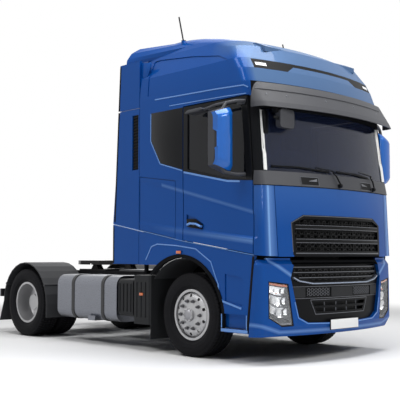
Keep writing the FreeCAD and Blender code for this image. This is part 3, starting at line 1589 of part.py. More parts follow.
def side_deflectors():
    """Return the two side deflectors behind the cab, each in two panels."""
    front = behind(cab_rear_behind) - panel_gap
    mid_rear = behind(side_deflector_top_behind)
    low_rear = behind(side_deflector_low_behind)
    y_low = cab_half_width - deflector_thickness
    split_low = split_height(-side_deflector_low_behind)
    split_high = split_height(-cab_rear_behind)
    upper = side_prism([(front, side_deflector_break + panel_gap / 2), (front, side_deflector_top),
                        (mid_rear, side_deflector_top), (mid_rear, side_deflector_break + panel_gap / 2)],
                       y_low, cab_half_width)
    lower = side_prism([(front, split_high), (front, side_deflector_break - panel_gap / 2),
                        (mid_rear, side_deflector_break - panel_gap / 2), (low_rear, split_low)],
                       y_low, cab_half_width)
    slot = side_prism([(behind(deflector_slot_front_behind), deflector_slot_bottom),
                       (behind(deflector_slot_front_behind), deflector_slot_top),
                       (behind(deflector_slot_rear_behind), deflector_slot_top),
                       (behind(deflector_slot_rear_behind), deflector_slot_bottom)],
                      y_low - cut_overrun, cab_half_width + cut_overrun)
    lower = lower.cut(slot)
    braces = []
    for z in (split_high + deflector_brace_height, deflector_slot_bottom - deflector_brace_height * 2):
        braces.append(block(front - deflector_brace_height, behind(cab_rear_behind),
                            y_low - deflector_thickness, y_low,
                            z, z + deflector_brace_height))
    upper_brace = block(front - deflector_brace_height, behind(cab_rear_behind),
                        y_low - deflector_thickness, y_low,
                        side_deflector_break + deflector_brace_height,
                        side_deflector_break + 2 * deflector_brace_height)
    return both_sides(group([joined([lower] + braces), joined([upper, upper_brace])]))


def deflector_section(x, at_front, shrink):
    """Return the roof deflector's cross-section at its front or rear end, shrunk by a wall."""
    height = vehicle_height - roof_deflector_low
    half = []
    for front_width, front_height, rear_width, rear_height in roof_deflector_shares:
        width = front_width if at_front else rear_width
        rise = front_height if at_front else rear_height
        half.append((cab_half_width * width - shrink, roof_deflector_low + height * rise - shrink))
    outline = half + [(-y, z) for y, z in reversed(half)]
    corners = [Vector(x, y, z) for y, z in outline]
    return Part.makePolygon(corners + corners[:1])


def roof_deflector():
    """Return the deflector that swells out of the roof and carries its line on behind the cab."""
    front = behind(roof_deflector_front_behind)
    rear = behind(roof_deflector_rear_behind)
    body = Part.makeLoft([deflector_section(front, True, 0), deflector_section(rear, False, 0)], True, True)
    inner = Part.makeLoft([deflector_section(front, True, deflector_thickness),
                           deflector_section(rear - cut_overrun, False, deflector_thickness)], True, True)
    behind_cab = block(rear - cut_overrun, behind(cab_rear_behind), -cab_half_width, cab_half_width,
                       0, vehicle_height)
    above = vehicle_height + cut_overrun
    tail = side_prism([(behind(roof_deflector_crest_behind), above),
                       (behind(roof_deflector_crest_behind), vehicle_height),
                       (behind(roof_deflector_knee_behind), roof_deflector_knee_height),
                       (rear, roof_deflector_rear_height), (rear - cut_overrun, roof_deflector_rear_height),
                       (rear - cut_overrun,
                        above)], -cab_half_width - cut_overrun, cab_half_width + cut_overrun)
    return body.cut([roof_body(0), inner.common(behind_cab), tail, antenna(-1), antenna(1)])


def roof_lamps():
    """Return the two lamp pods on the roof's front."""
    x = ahead(roof_lamp_ahead)
    low = roof_lamp_height - roof_lamp_half_height
    high = roof_lamp_height + roof_lamp_half_height
    pod = side_prism([(x + roof_lamp_length / 3, low),
                      (x + roof_lamp_length / 3, high - roof_lamp_half_height),
                      (x - roof_lamp_length / 4, high), (x - roof_lamp_length, high), (x - roof_lamp_length,
                                                                                       low)],
                     roof_lamp_y - roof_lamp_half_width, roof_lamp_y + roof_lamp_half_width)
    return both_sides(pod.cut(roof_body(0)))


def mirror(side):
    """Return one door mirror with its arms, and the kerb mirror on the right."""
    housing = rounded_z(block(ahead(mirror_rear_ahead), ahead(mirror_front_ahead), mirror_inner_y,
                              mirror_outer_y,
                              mirror_low, mirror_high), mirror_corner)
    x = ahead(mirror_arm_ahead)
    middle_y = (mirror_inner_y + mirror_outer_y) / 2
    low_y = cab_half_width
    parts = [housing]
    for height, target in ((mirror_low_arm_height, mirror_low + mirror_corner),
                           (mirror_high_arm_height, mirror_high - mirror_corner)):
        knee = Vector(x, middle_y, height)
        parts.append(rod(Vector(x, low_y, height), knee, mirror_arm_radius))
        parts.append(Part.makeSphere(mirror_arm_radius, knee))
        parts.append(rod(knee, Vector(x, middle_y, target), mirror_arm_radius))
        parts.append(block(x - mirror_foot_length / 2, x + mirror_foot_length / 2, low_y,
                           low_y + mirror_foot_height / 2, height - mirror_foot_height / 2,
                           height + mirror_foot_height / 2))
    if side < 0:
        kerb = rounded_z(block(ahead(kerb_mirror_rear_ahead), ahead(kerb_mirror_front_ahead),
                               kerb_mirror_inner_y,
                               kerb_mirror_outer_y, kerb_mirror_bottom,
                               kerb_mirror_bottom + kerb_mirror_height),
                         mirror_corner)
        kerb_x = ahead(kerb_mirror_front_ahead) - mirror_corner
        arm_z = kerb_mirror_bottom + kerb_mirror_height / 2
        kerb_arm = rod(Vector(kerb_x, kerb_mirror_inner_y + mirror_corner, arm_z),
                       Vector(x, middle_y, arm_z + mirror_foot_height),
                       mirror_arm_radius)
        parts.extend([kerb, kerb_arm])
    shape = joined(parts)
    return shape if side > 0 else mirrored(shape)


def front_mirror():
    """Return the small mirror that hangs from the visor at the right."""
    x = ahead(front_mirror_ahead)
    body = block(x, x + front_mirror_depth, front_mirror_y - front_mirror_half_width,
                 front_mirror_y + front_mirror_half_width, front_mirror_top - front_mirror_height,
                 front_mirror_top)
    stalk = post(x + front_mirror_depth / 2, front_mirror_y, front_mirror_top, front_mirror_stalk_top,
                 mirror_arm_radius)
    return joined([rounded_x(body, mirror_corner), stalk.cut(sun_visor())])


def wipers():
    """Return the parked wiper arms in front of the windscreen's foot."""
    arms = []
    for share in wiper_pivot_shares:
        y = share * windscreen_half_width
        pivot_x = ahead(reach_at_cowl_bottom) - bow_drop(y)
        tip_y = y + wiper_length if y < 0 else y - wiper_length
        tip_x = ahead(reach_at_cowl_bottom) - bow_drop(tip_y)
        base = Vector(pivot_x + wiper_standoff, y, cowl_top - wiper_lift)
        knee = Vector(pivot_x + wiper_standoff, y, cowl_top + wiper_lift / 2)
        tip = Vector(tip_x + wiper_standoff, tip_y, cowl_top + wiper_lift)
        boss = rod(base - Vector(wiper_boss_length, 0, 0), base + Vector(wiper_radius, 0, 0),
                   wiper_boss_radius)
        arms.append(joined([boss.cut(cowl_body(0)), rod(base, knee, wiper_radius),
                            Part.makeSphere(wiper_radius, knee), rod(knee, tip, wiper_radius)]))
    return arms


def bow_drop(y):
    """Return how far the bowed front lies back at a distance from the middle plane."""
    return front_bow_radius - math.sqrt(front_bow_radius ** 2 - y ** 2)


# Bumper, lamps and fairings

@functools.lru_cache(maxsize=None)
def bumper_body(inset):
    """Return the bumper's outer form, shrunk by an inset."""
    return bowed_body(bumper_levels, ahead(0), inset, True)


def bumper_zone():
    """Return the space ahead of the gap between the bumper and the fairings."""
    slope = (bumper_gap_top_ahead - bumper_gap_low_ahead) / (bumper_gap_top - bumper_gap_low)
    top_x = ahead(bumper_gap_top_ahead) + bumper_gap
    low_x = top_x - slope * (bumper_gap_top - 0)
    nose = ahead(front_overhang + cut_overrun)
    return side_prism([(low_x, 0), (nose, 0), (nose, bumper_gap_top), (top_x, bumper_gap_top)],
                      -cab_half_width - cut_overrun, cab_half_width + cut_overrun)


def lower_grille_outline(shrink):
    """Return the outline of the bumper's main air opening."""
    half = [(lower_grille_inner_half, lower_grille_inner_low + shrink),
            (lower_grille_top_half - shrink, lower_grille_outer_low + shrink),
            (lower_grille_top_half - shrink, lower_grille_top - shrink)]
    return half + [(-y, z) for y, z in reversed(half)]


def bumper_centre_outline(grow):
    """Return the outline of the bumper's dark middle, grown by a margin."""
    height = lower_grille_top - bumper_centre_low
    half = []
    for width_share, height_share in bumper_centre_shares:
        half.append((headlamp_inner_top_y * width_share + grow,
                     bumper_centre_low + height * height_share + grow * (2 * height_share - 1)))
    return half + [(-y, z) for y, z in reversed(half)]


def vent_outline(shrink):
    """Return the outline of the bumper's small air opening."""
    half = [(vent_half_width - vent_bevel - shrink, vent_bottom + shrink),
            (vent_half_width - shrink, vent_top - shrink)]
    return half + [(-y, z) for y, z in reversed(half)]


def headlamp_outline(shrink):
    """Return the left headlamp's outline in the front view."""
    return [(headlamp_inner_low_y + shrink, headlamp_low + shrink),
            ((headlamp_inner_low_y + headlamp_outer_y) / 2, headlamp_low + shrink),
            (headlamp_outer_y - shrink, headlamp_outer_low + shrink),
            (headlamp_outer_y - shrink, headlamp_top - shrink),
            (headlamp_inner_top_y + shrink, headlamp_inner_top - shrink)]


def bumper_stay():
    """Return the left stay between the bumper's shell and the beam behind it."""
    stay = block(ahead(bumper_beam_ahead), ahead(front_overhang), bumper_stay_inner_y, bumper_stay_outer_y,
                 bumper_beam_bottom, bumper_beam_bottom + bumper_beam_height)
    return stay.common(bumper_body(bumper_wall / 2))


def bumper():
    """Return the painted bumper shell, open at its middle and lamps, and the beam behind it."""
    shell = bumper_body(0).cut(bumper_body(bumper_wall)).common(bumper_zone())
    nose = ahead(front_overhang + cut_overrun)
    centre_hole = front_prism(bumper_centre_outline(0), ahead(0), nose)
    lamp_hole = front_prism(headlamp_outline(0), ahead(bumper_gap_top_ahead), nose)
    shell = shell.cut([centre_hole, lamp_hole, mirrored(lamp_hole)])
    beam = block(ahead(bumper_beam_ahead), ahead(bumper_beam_ahead) + bumper_beam_depth, -bumper_beam_half,
                 bumper_beam_half, bumper_beam_bottom, bumper_beam_bottom + bumper_beam_height)
    return joined([shell, beam, bumper_stay(), mirrored(bumper_stay())])


def lower_grille():
    """Return the bumper's dark middle: a set-back panel with bars in its two air openings."""
    layer = bumper_body(bumper_wall).cut(bumper_body(bumper_wall + bumper_centre_thickness))
    nose = ahead(front_overhang)
    root = ahead(bumper_gap_low_ahead)
    panel = layer.common(front_prism(bumper_centre_outline(bumper_centre_margin), root, nose))
    main_zone = front_prism(lower_grille_outline(lower_bar_height), root, nose)
    vent_zone = front_prism(vent_outline(lower_bar_height / 2), root, nose)
    far = cab_half_width
    levels = []
    run = lower_grille_top - lower_grille_inner_low
    for number in range(lower_bar_count):
        levels.append((main_zone, lower_grille_inner_low + run * (number + 1) / (lower_bar_count + 1)))
    levels.append((vent_zone, (vent_top + vent_bottom) / 2))
    bars = []
    for zone, z in levels:
        bars.append(panel.common(zone).common(block(root, nose, -far, far, z - lower_bar_height / 2,
                                                    z + lower_bar_height / 2)))
    panel = joined([panel.cut([main_zone, vent_zone])] + bars)
    return panel.cut([bumper_stay(), mirrored(bumper_stay())])


def headlamps():
    """Return the two headlamp units."""
    layer = bumper_body(headlamp_inset).cut(bumper_body(headlamp_depth))
    zone = front_prism(headlamp_outline(running_gap), ahead(bumper_gap_top_ahead) + cut_overrun / 2,
                       ahead(front_overhang))
    return both_sides(layer.common(zone))


def arch_disc(radius, y_low, y_high):
    """Return the round space of a front wheel arch."""
    return cross_rod(behind(arch_centre_behind), arch_centre_height, y_low, y_high, radius)


def fairing():
    """Return the left side fairing: wheel arch, step wells and the skirt behind."""
    slope = (bumper_gap_top_ahead - bumper_gap_low_ahead) / (bumper_gap_top - bumper_gap_low)
    low_front = ahead(bumper_gap_top_ahead) - slope * (bumper_gap_top - fairing_bottom)
    top = split_height(-split_rear_behind)
    y_low = cab_half_width - fairing_thickness
    panel = side_prism([(behind(cab_rear_behind), fairing_rear_low), (behind(cab_rear_behind), top),
                        (ahead(bumper_gap_top_ahead), top), (ahead(bumper_gap_top_ahead), bumper_gap_top),
                        (low_front, fairing_bottom), (ahead(arch_front_ahead), fairing_bottom),
                        (ahead(arch_front_ahead), fairing_rear_low)], y_low, cab_half_width)
    skirt = side_prism([(behind(side_deflector_low_behind), skirt_bottom),
                        (behind(side_deflector_low_behind), top),
                        (behind(cab_rear_behind) - panel_gap, top), (behind(cab_rear_behind) - panel_gap,
                                                                     skirt_bottom)],
                       cab_half_width - deflector_thickness, cab_half_width)
    arch = arch_disc(arch_radius, y_low - cut_overrun, cab_half_width + cut_overrun)
    opening = block(ahead(step_rear_ahead), ahead(step_front_ahead), y_low - cut_overrun,
                    cab_half_width + cut_overrun, step_low, step_top)
    recess = side_prism([(ahead(fairing_recess_rear_ahead), fairing_recess_low),
                         (ahead(fairing_recess_rear_ahead), fairing_recess_top),
                         (ahead(fairing_recess_front_ahead), fairing_recess_top - fairing_recess_fall),
                         (ahead(fairing_recess_front_ahead), fairing_recess_low - fairing_recess_fall)],
                        cab_half_width - fairing_recess_depth, cab_half_width + cut_overrun)
    panel = panel.cut([arch, opening, recess])
    inner = cab_half_width - step_depth
    well = block(ahead(step_rear_ahead) - step_wall, ahead(step_front_ahead) + step_wall, inner - step_wall,
                 y_low, step_low - step_wall, step_top + step_wall)
    space = block(ahead(step_rear_ahead), ahead(step_front_ahead), inner, cab_half_width + cut_overrun,
                  step_low, step_top)
    lip = arch_disc(arch_radius + arch_lip_width, y_low, cab_half_width + arch_lip_proud)
    lip = lip.cut(arch_disc(arch_radius, y_low - cut_overrun, cab_half_width + cut_overrun))
    lip_top = split_height(-cab_rear_behind)
    front_half = block(behind(arch_centre_behind), ahead(arch_front_ahead) + arch_lip_width, y_low,
                       cab_half_width + cut_overrun, arch_lip_front_low, lip_top)
    rear_half = block(behind(cab_rear_behind), behind(arch_centre_behind), y_low,
                      cab_half_width + cut_overrun,
                      cover_top + panel_gap, lip_top)
    lip = lip.common(joined([front_half, rear_half]))
    bracket_x = ahead(step_rear_ahead) + step_depth / 3
    bracket = block(bracket_x, bracket_x + bracket_thickness, rail_outer_half, inner - step_wall,
                    rail_top - rail_height, rail_top - rail_height + bracket_thickness)
    drop = block(bracket_x, bracket_x + bracket_thickness, inner - step_wall, inner, step_low,
                 rail_top - rail_height + bracket_thickness)
    rear_bracket = block(behind(cab_rear_behind) + bracket_thickness,
                         behind(cab_rear_behind) + 2 * bracket_thickness,
                         rail_outer_half, y_low, rail_top, rail_top + bracket_thickness)
    riser = block(behind(cab_rear_behind) + bracket_thickness,
                  behind(cab_rear_behind) + 2 * bracket_thickness,
                  y_low - bracket_thickness, y_low, rail_top, fairing_rear_low + cab_wall)
    link = block(behind(cab_rear_behind) - 2 * bracket_thickness,
                 behind(cab_rear_behind) + 2 * bracket_thickness,
                 y_low - bracket_thickness, y_low, fairing_rear_low, fairing_rear_low + cab_wall)
    pad = block(behind(cab_rear_behind) - 2 * bracket_thickness, behind(cab_rear_behind) - panel_gap,
                y_low, cab_half_width - deflector_thickness, fairing_rear_low, fairing_rear_low + cab_wall)
    parts = [panel, well.cut(space), lip, bracket, drop, rear_bracket, riser, link, skirt, pad]
    return joined(parts).common(below_split())


def arch_liner():
    """Return the left liner over the front wheel, from the frame out to the fairing."""
    outer = arch_radius - liner_gap
    ring = arch_disc(outer, liner_inner_y, cab_half_width - fairing_thickness)
    ring = ring.cut(arch_disc(outer - liner_thickness, liner_inner_y - cut_overrun, cab_half_width))
    centre = (behind(arch_centre_behind), arch_centre_height)
    far = arch_radius * 2
    front = math.radians(liner_front_angle)
    rear = math.radians(liner_rear_angle)
    wedge = side_prism([centre, (centre[0] + far * math.cos(front), centre[1] + far * math.sin(front)),
                        (centre[0] + far, centre[1] + far), (centre[0] - far, centre[1] + far),
                        (centre[0] + far * math.cos(rear), centre[1] + far * math.sin(rear))],
                       0, cab_half_width)
    stay = block(centre[0] - bracket_thickness / 2, centre[0] + bracket_thickness / 2, rail_outer_half,
                 liner_inner_y + bracket_thickness, rail_top, rail_top + bracket_thickness)
    post_block = block(centre[0] - bracket_thickness / 2, centre[0] + bracket_thickness / 2, liner_inner_y,
                       liner_inner_y + bracket_thickness, rail_top,
                       centre[1] + outer - liner_thickness / 2)
    return joined([ring.common(wedge), stay, post_block])


def tail_lamps():
    """Return the two lamp units on the rear beam."""
    x = frame_end_x
    lamp = block(x - tail_lamp_depth, x, tail_lamp_y, tail_lamp_y + tail_lamp_length, rear_beam_bottom,
                 rear_beam_bottom + tail_lamp_height)
    return both_sides(rounded_x(lamp, tail_lamp_height * tail_lamp_round_share))


# Inside the cab

def dashboard():
    """Return the dashboard across the cab, with the steering column's stub."""
    front = ahead(firewall_ahead) - cab_wall
    points = [(front, dash_bottom), (front, dash_top), (front - dash_depth * dash_crest_share, dash_top),
              (front - dash_depth, dash_top - dash_depth * dash_face_share),
              (front - dash_depth * dash_lower_share, dash_bottom + dash_depth * dash_rise_share),
              (front - dash_depth * dash_foot_share, dash_bottom)]
    return side_prism(points, -dash_half_width, dash_half_width)


def seat(side):
    """Return one seat: pedestal, cushion, back and headrest."""
    x = ahead(seat_ahead)
    floor = cab_floor_bottom + cab_floor_thickness
    low = seat_top - seat_cushion_height
    half = seat_half_width
    back_low = Vector(x, 0, low)
    y = side * seat_y
    parts = [block(x, x + seat_length, y - half, y + half, low, seat_top),
             block(x + seat_pedestal_half / 2, x + seat_length - seat_pedestal_half / 2,
                   y - seat_pedestal_half,
                   y + seat_pedestal_half, floor, low)]
    lean = seat_back_lean
    parts.append(side_prism([(x, low), (x + seat_back_thickness, low),
                             (x + seat_back_thickness - lean, seat_top + seat_back_height),
                             (x - lean, seat_top + seat_back_height)], y - half, y + half))
    top = seat_top + seat_back_height
    parts.append(side_prism([(x - lean, top), (x - lean + seat_back_thickness, top),
                             (x - lean + seat_back_thickness * seat_head_rear_share, top + seat_head_height),
                             (x - lean + seat_back_thickness * seat_head_front_share,
                              top + seat_head_height)],
                            y - seat_head_half_width, y + seat_head_half_width))
    return joined(parts)


def bunk():
    """Return the bunk mattress on its base at the cab's rear."""
    inner = cab_half_width - cab_wall - hatch_thickness
    rear = behind(cab_rear_behind) + cab_wall
    front = behind(bunk_front_behind)
    base = block(rear, front, -inner + bunk_side_gap, inner - bunk_side_gap,
                 cab_floor_bottom + cab_floor_thickness, bunk_base_top)
    mattress = block(rear + bunk_side_gap, front, -inner + bunk_side_gap * 2, inner - bunk_side_gap * 2,
                     bunk_base_top, bunk_base_top + bunk_thickness)
    return base, mattress


def steering_wheel():
    """Return the steering wheel, leaning back about the vehicle's left seat."""
    rim_ring = Part.makeTorus(steering_wheel_radius, steering_wheel_rim)
    hub = Part.makeCylinder(steering_hub_radius, steering_hub_height, Vector(0, 0, -steering_hub_height / 2))
    spokes = []
    for number in range(steering_spoke_count):
        spoke = Part.makeBox(steering_wheel_radius, steering_spoke_width, steering_spoke_thickness,
                             Vector(0, -steering_spoke_width / 2, -steering_spoke_thickness / 2))
        spoke.rotate(Vector(0, 0, 0), Vector(0, 0, 1), full_turn_deg / steering_spoke_count * number)
        spokes.append(spoke)
    wheel = joined([rim_ring, hub] + spokes)
    wheel.rotate(Vector(0, 0, 0), Vector(0, 1, 0), -steering_wheel_lean_deg)
    return moved(wheel, ahead(steering_wheel_ahead), seat_y, steering_wheel_height)


def steering_column():
    """Return the column from the dashboard up to the steering wheel's hub."""
    lean = math.radians(steering_wheel_lean_deg)
    axis = Vector(-math.sin(lean), 0, math.cos(lean))
    centre = Vector(ahead(steering_wheel_ahead), seat_y, steering_wheel_height)
    top = centre - axis * (steering_hub_height / 2 + running_gap)
    foot = top - axis * (dash_depth * column_reach_share)
    return rod(foot, top, column_radius)


def save_chassis():
    """Write the frame and all that is fixed to it."""
    save("ladder_frame", ladder_frame())
    save("powertrain", powertrain())
    save("front_axle", front_axle())
    save("leaf_springs", both_sides(leaf_springs()))
    save("rear_axle", rear_axle())
    save("fuel_tanks", both_sides(fuel_tank()))
    save("urea_tank", urea_tank())
    save("side_covers", both_sides(side_cover()))
    save("exhaust_box", exhaust_box())
    catwalk = block(behind(catwalk_rear_behind), behind(catwalk_front_behind), -catwalk_half_width,
                    catwalk_half_width, rail_top, rail_top + catwalk_thickness)
    save("catwalk", catwalk)
    save("rear_mudguards", both_sides(mudguard()))
    save("fifth_wheel_base", fifth_wheel_base())
    save("cab_supports", cab_supports())
    save("bumper", bumper())
    save("lower_grille", lower_grille())
    save("headlamps", headlamps())
    save("side_fairings", both_sides(fairing()))
    save("arch_liners", both_sides(arch_liner()))
    save("tail_lamps", tail_lamps())


def save_cab():
    """Write the cab and all that is fixed to it."""
    save("cab_shell", cab_shell())
    save("roof_shell", roof_shell())
    save("roof_strip", roof_strip())
    save("roof_lamps", roof_lamps())
    save("roof_deflector", roof_deflector())
    save("side_deflectors", side_deflectors())
    save("cowl_panel", cowl_panel())
    save("corner_panels", corner_panels())
    save("cab_glass", cab_glass())
    save("sun_visor", sun_visor())
    save("front_mirror", front_mirror())
    save("wipers", group(wipers()))
    save("dashboard", joined([dashboard(), steering_column()]))
    save("seats", group([seat(-1), seat(1)]))
    base, mattress = bunk()
    save("bunk_base", base)
    save("bunk_mattress", mattress)


def save_moving_pieces():
    """Write the pieces that move on joints, apart from the wheels."""
    for side, name in ((1, "left"), (-1, "right")):
        save("door_" + name, door(side))
        save("door_glass_" + name, door_glass(side))
        save("mirror_" + name, mirror(side))
        save("hatch_" + name, hatch(side))
        shape = knuckle()
        save("knuckle_" + name, shape if side > 0 else mirrored(shape))
    save("tie_rod", tie_rod())
    save("front_lid", front_lid())
    save("upper_grille", upper_grille())
    save("fifth_wheel_plate", fifth_wheel_plate())
    save("steering_wheel", steering_wheel())


os.makedirs("parts", exist_ok=True)
save_wheels()
save_chassis()
save_cab()
save_moving_pieces()
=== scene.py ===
"""Studio scene of a two-axle truck tractor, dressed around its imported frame."""

import logging
import math
from dataclasses import dataclass, field
from enum import Enum
from functools import partial
from typing import Callable, Iterable, Sequence

import bmesh
import bpy
from mathutils import Matrix, Vector
from mathutils.bvhtree import BVHTree


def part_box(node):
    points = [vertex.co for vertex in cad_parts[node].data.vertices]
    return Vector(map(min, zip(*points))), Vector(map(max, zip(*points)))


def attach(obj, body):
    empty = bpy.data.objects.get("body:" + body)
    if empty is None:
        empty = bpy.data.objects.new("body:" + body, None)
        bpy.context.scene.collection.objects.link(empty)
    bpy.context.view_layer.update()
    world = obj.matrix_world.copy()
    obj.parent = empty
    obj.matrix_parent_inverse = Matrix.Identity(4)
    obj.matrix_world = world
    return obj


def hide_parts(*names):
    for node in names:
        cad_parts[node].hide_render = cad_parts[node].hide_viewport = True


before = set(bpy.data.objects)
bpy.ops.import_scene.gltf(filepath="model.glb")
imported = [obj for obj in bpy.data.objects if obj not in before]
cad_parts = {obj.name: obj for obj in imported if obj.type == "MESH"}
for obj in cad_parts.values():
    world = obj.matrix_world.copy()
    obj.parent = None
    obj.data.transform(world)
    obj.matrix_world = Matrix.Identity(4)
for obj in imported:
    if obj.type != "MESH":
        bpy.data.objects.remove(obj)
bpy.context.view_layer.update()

LOG = logging.getLogger("tractor")
Colour = tuple[float, float, float]
Place = tuple[float, float, float]
Point = tuple[float, float]
Path = tuple[Point, ...]
BOW_RADIUS = 4.0
TINY = 0.0005
MIX_FACTOR, MIX_LOW, MIX_HIGH, MIX_RESULT = 0, 6, 7, 2
CLOUD_SCALE = 3.0
ROUGH_SPREAD = 0.18
GRAIN_LIFT = 0.001
FINE_LIFT = 0.0006


class Side(Enum):
    """A side of the vehicle, as the sign of its Y."""

    LEFT = 1
    RIGHT = -1

    @property
    def word(self) -> str:
        """Return the side's name as the frame's bodies use it."""
        return self.name.lower()


class Socket:
    """A shader value that takes part in Python sums: each operator adds its own node."""

    def __init__(self, graph: "Graph", socket: bpy.types.NodeSocket) -> None:
        """Keep the graph and the node socket that gives the value."""
        self.graph = graph
        self.socket = socket

    def _math(self, operation: str, first: "Socket | float", second: "Socket | float") -> "Socket":
        """Return the result of one Math node."""
        return self.graph.node("ShaderNodeMath", {"operation": operation}, {0: first, 1: second})

    def __add__(self, other: "Socket | float") -> "Socket":
        """Return this value plus another."""
        return self._math("ADD", self, other)

    def __sub__(self, other: "Socket | float") -> "Socket":
        """Return this value minus another."""
        return self._math("SUBTRACT", self, other)

    def __mul__(self, other: "Socket | float") -> "Socket":
        """Return this value times another."""
        return self._math("MULTIPLY", self, other)

    def __truediv__(self, other: "Socket | float") -> "Socket":
        """Return this value divided by another."""
        return self._math("DIVIDE", self, other)

    def __rsub__(self, other: float) -> "Socket":
        """Return a number minus this value."""
        return self._math("SUBTRACT", other, self)

    def __gt__(self, other: "Socket | float") -> "Socket":
        """Return 1 where this value is the greater, and 0 elsewhere."""
        return self._math("GREATER_THAN", self, other)

    def __lt__(self, other: "Socket | float") -> "Socket":
        """Return 1 where this value is the smaller, and 0 elsewhere."""
        return self._math("LESS_THAN", self, other)

    def __or__(self, other: "Socket") -> "Socket":
        """Return the greater of two values, so that either mask counts."""
        return self._math("MAXIMUM", self, other)

    def __abs__(self) -> "Socket":
        """Return the value without its sign."""
        return self.graph.node("ShaderNodeMath", {"operation": "ABSOLUTE"}, {0: self})

    __radd__ = __add__
    __rmul__ = __mul__


class Graph:
    """The node tree of a material or of the world, with one method that adds any node."""

    def __init__(self, owner: bpy.types.Material | bpy.types.World) -> None:
        """Clear the owner's nodes.

        Args:
            owner: the material or the world that the nodes belong to.
        """
        owner.use_nodes = True
        self.owner = owner
        self.tree = owner.node_tree
        self.tree.nodes.clear()

    def add(self, kind: str, settings: dict, sockets: dict) -> bpy.types.Node:
        """Add a node: its type, then its settings, then its values and links.

        Args:
            kind: the node's type name.
            settings: attributes to set first.
            sockets: values or links for the inputs, by name or number.

        Returns:
            The new node.
        """
        made = self.tree.nodes.new(kind)
        for key, value in settings.items():
            setattr(made, key, value)
        for key, value in sockets.items():
            if isinstance(value, Socket):
                self.tree.links.new(value.socket, made.inputs[key])
            else:
                made.inputs[key].default_value = value
        return made

    def node(self, kind: str, settings: dict | None = None, sockets: dict | None = None,
             output: int | str = 0) -> Socket:
        """Add a node and return one of its outputs."""
        made = self.add(kind, settings or {}, sockets or {})
        return Socket(self, made.outputs[output])

    def place(self, stretch: Place = (1.0, 1.0, 1.0)) -> Socket:
        """Return the point on the piece in metres, stretched along each axis."""
        point = self.node("ShaderNodeTexCoord", output="Object")
        return self.node("ShaderNodeVectorMath", {"operation": "MULTIPLY"}, {0: point, 1: stretch})

    def axis(self, letter: str) -> Socket:
        """Return the point's X, Y or Z in metres."""
        return self.node("ShaderNodeSeparateXYZ", {}, {"Vector": self.place()}, output=letter)

    def noise(self, scale: float, detail: float = 2.0, stretch: Place = (1.0, 1.0, 1.0)) -> Socket:
        """Return soft noise from 0 to 1 with a scale per metre."""
        return self.node("ShaderNodeTexNoise", {"noise_dimensions": "3D"},
                         {"Vector": self.place(stretch), "Scale": scale, "Detail": detail})

    def mix(self, factor: Socket | float, low: Socket | Colour, high: Socket | Colour) -> Socket:
        """Return a colour between two, by a factor.

        Args:
            factor: the share of the second colour.
            low: the colour at 0.
            high: the colour at 1.

        Returns:
            The mixed colour.
        """
        ends = {}
        for key, value in ((MIX_LOW, low), (MIX_HIGH, high)):
            ends[key] = value if isinstance(value, Socket) else (*value, 1.0)
        return self.node("ShaderNodeMix", {"data_type": "RGBA"}, {MIX_FACTOR: factor, **ends}, MIX_RESULT)

    def wave(self, way: str, scale: float, stretch: Place = (1.0, 1.0, 1.0), bend: float = 0.0) -> Socket:
        """Return even bands across the piece, from 0 to 1."""
        return self.node("ShaderNodeTexWave", {"bands_direction": way},
                         {"Vector": self.place(stretch), "Scale": scale, "Distortion": bend}, "Fac")

    def bump(self, height: Socket, strength: float, distance: float) -> Socket:
        """Return a normal bent by a height."""
        return self.node("ShaderNodeBump", {}, {"Height": height, "Strength": strength, "Distance": distance},
                         "Normal")

    def seen(self) -> Socket:
        """Return 1 for rays from the camera, a reflection or clear glass, and 0 for the light."""
        camera, glossy, clear = (self.node("ShaderNodeLightPath", output=kind)
                                 for kind in ("Is Camera Ray", "Is Glossy Ray", "Is Transmission Ray"))
        return camera | glossy | clear

    def close(self, shader: Socket, kind: str = "ShaderNodeOutputMaterial") -> bpy.types.ID:
        """Link the last shader to the output and return the owner."""
        self.add(kind, {}, {"Surface": shader})
        return self.owner


@dataclass(frozen=True)
class Finish:
    """A surface finish: its colour, how rough and how metallic it is, and its varied parts."""

    name: str
    colour: Colour
    roughness: float = 0.5
    metallic: float = 0.0
    grain: float = 300.0
    depth: float = 0.1
    tint: float = 0.12
    specular: float = 0.5
    zone: Callable[[Graph], Socket] | None = None
    zone_colour: Colour = (0.012, 0.0125, 0.014)
    zone_roughness: float = 0.5

    def inputs(self, graph: Graph) -> dict:
        """Return the values and links of the surface shader.

        Args:
            graph: the material's graph.

        Returns:
            Socket names with their values.
        """
        cloud = graph.noise(CLOUD_SCALE, 4.0)
        fine = graph.noise(self.grain, 3.0)
        return {"Base Color": graph.mix(cloud, self.shade(1.0 - self.tint), self.shade(1.0 + self.tint)),
                "Roughness": self.roughness + (fine - 0.5) * ROUGH_SPREAD,
                "Metallic": self.metallic,
                "Normal": graph.bump(fine, self.depth, GRAIN_LIFT)}

    def shade(self, factor: float) -> Colour:
        """Return the finish's colour times a factor."""
        return tuple(min(1.0, part * factor) for part in self.colour)

    def material(self) -> bpy.types.Material:
        """Return the finish's material, made once.

        Returns:
            The material.
        """
        known = bpy.data.materials.get(self.name)
        if known:
            return known
        graph = Graph(bpy.data.materials.new(self.name))
        values = {"Specular IOR Level": self.specular} | self.inputs(graph)
        if self.zone:
            self.mask(graph, values)
        return graph.close(graph.node("ShaderNodeBsdfPrincipled", {}, values))

    def mask(self, graph: Graph, values: dict) -> None:
        """Give the part of the piece inside the zone its own colour and roughness.

        Args:
            graph: the material's graph.
            values: the shader's values, which are changed.
        """
        inside = self.zone(graph)
        outside = 1 - inside
        values["Base Color"] = graph.mix(inside, values["Base Color"], self.zone_colour)
        values["Roughness"] = outside * values["Roughness"] + inside * self.zone_roughness
        values["Metallic"] = outside * values["Metallic"]
        if "Coat Weight" in values:
            values["Coat Weight"] = outside * values["Coat Weight"]


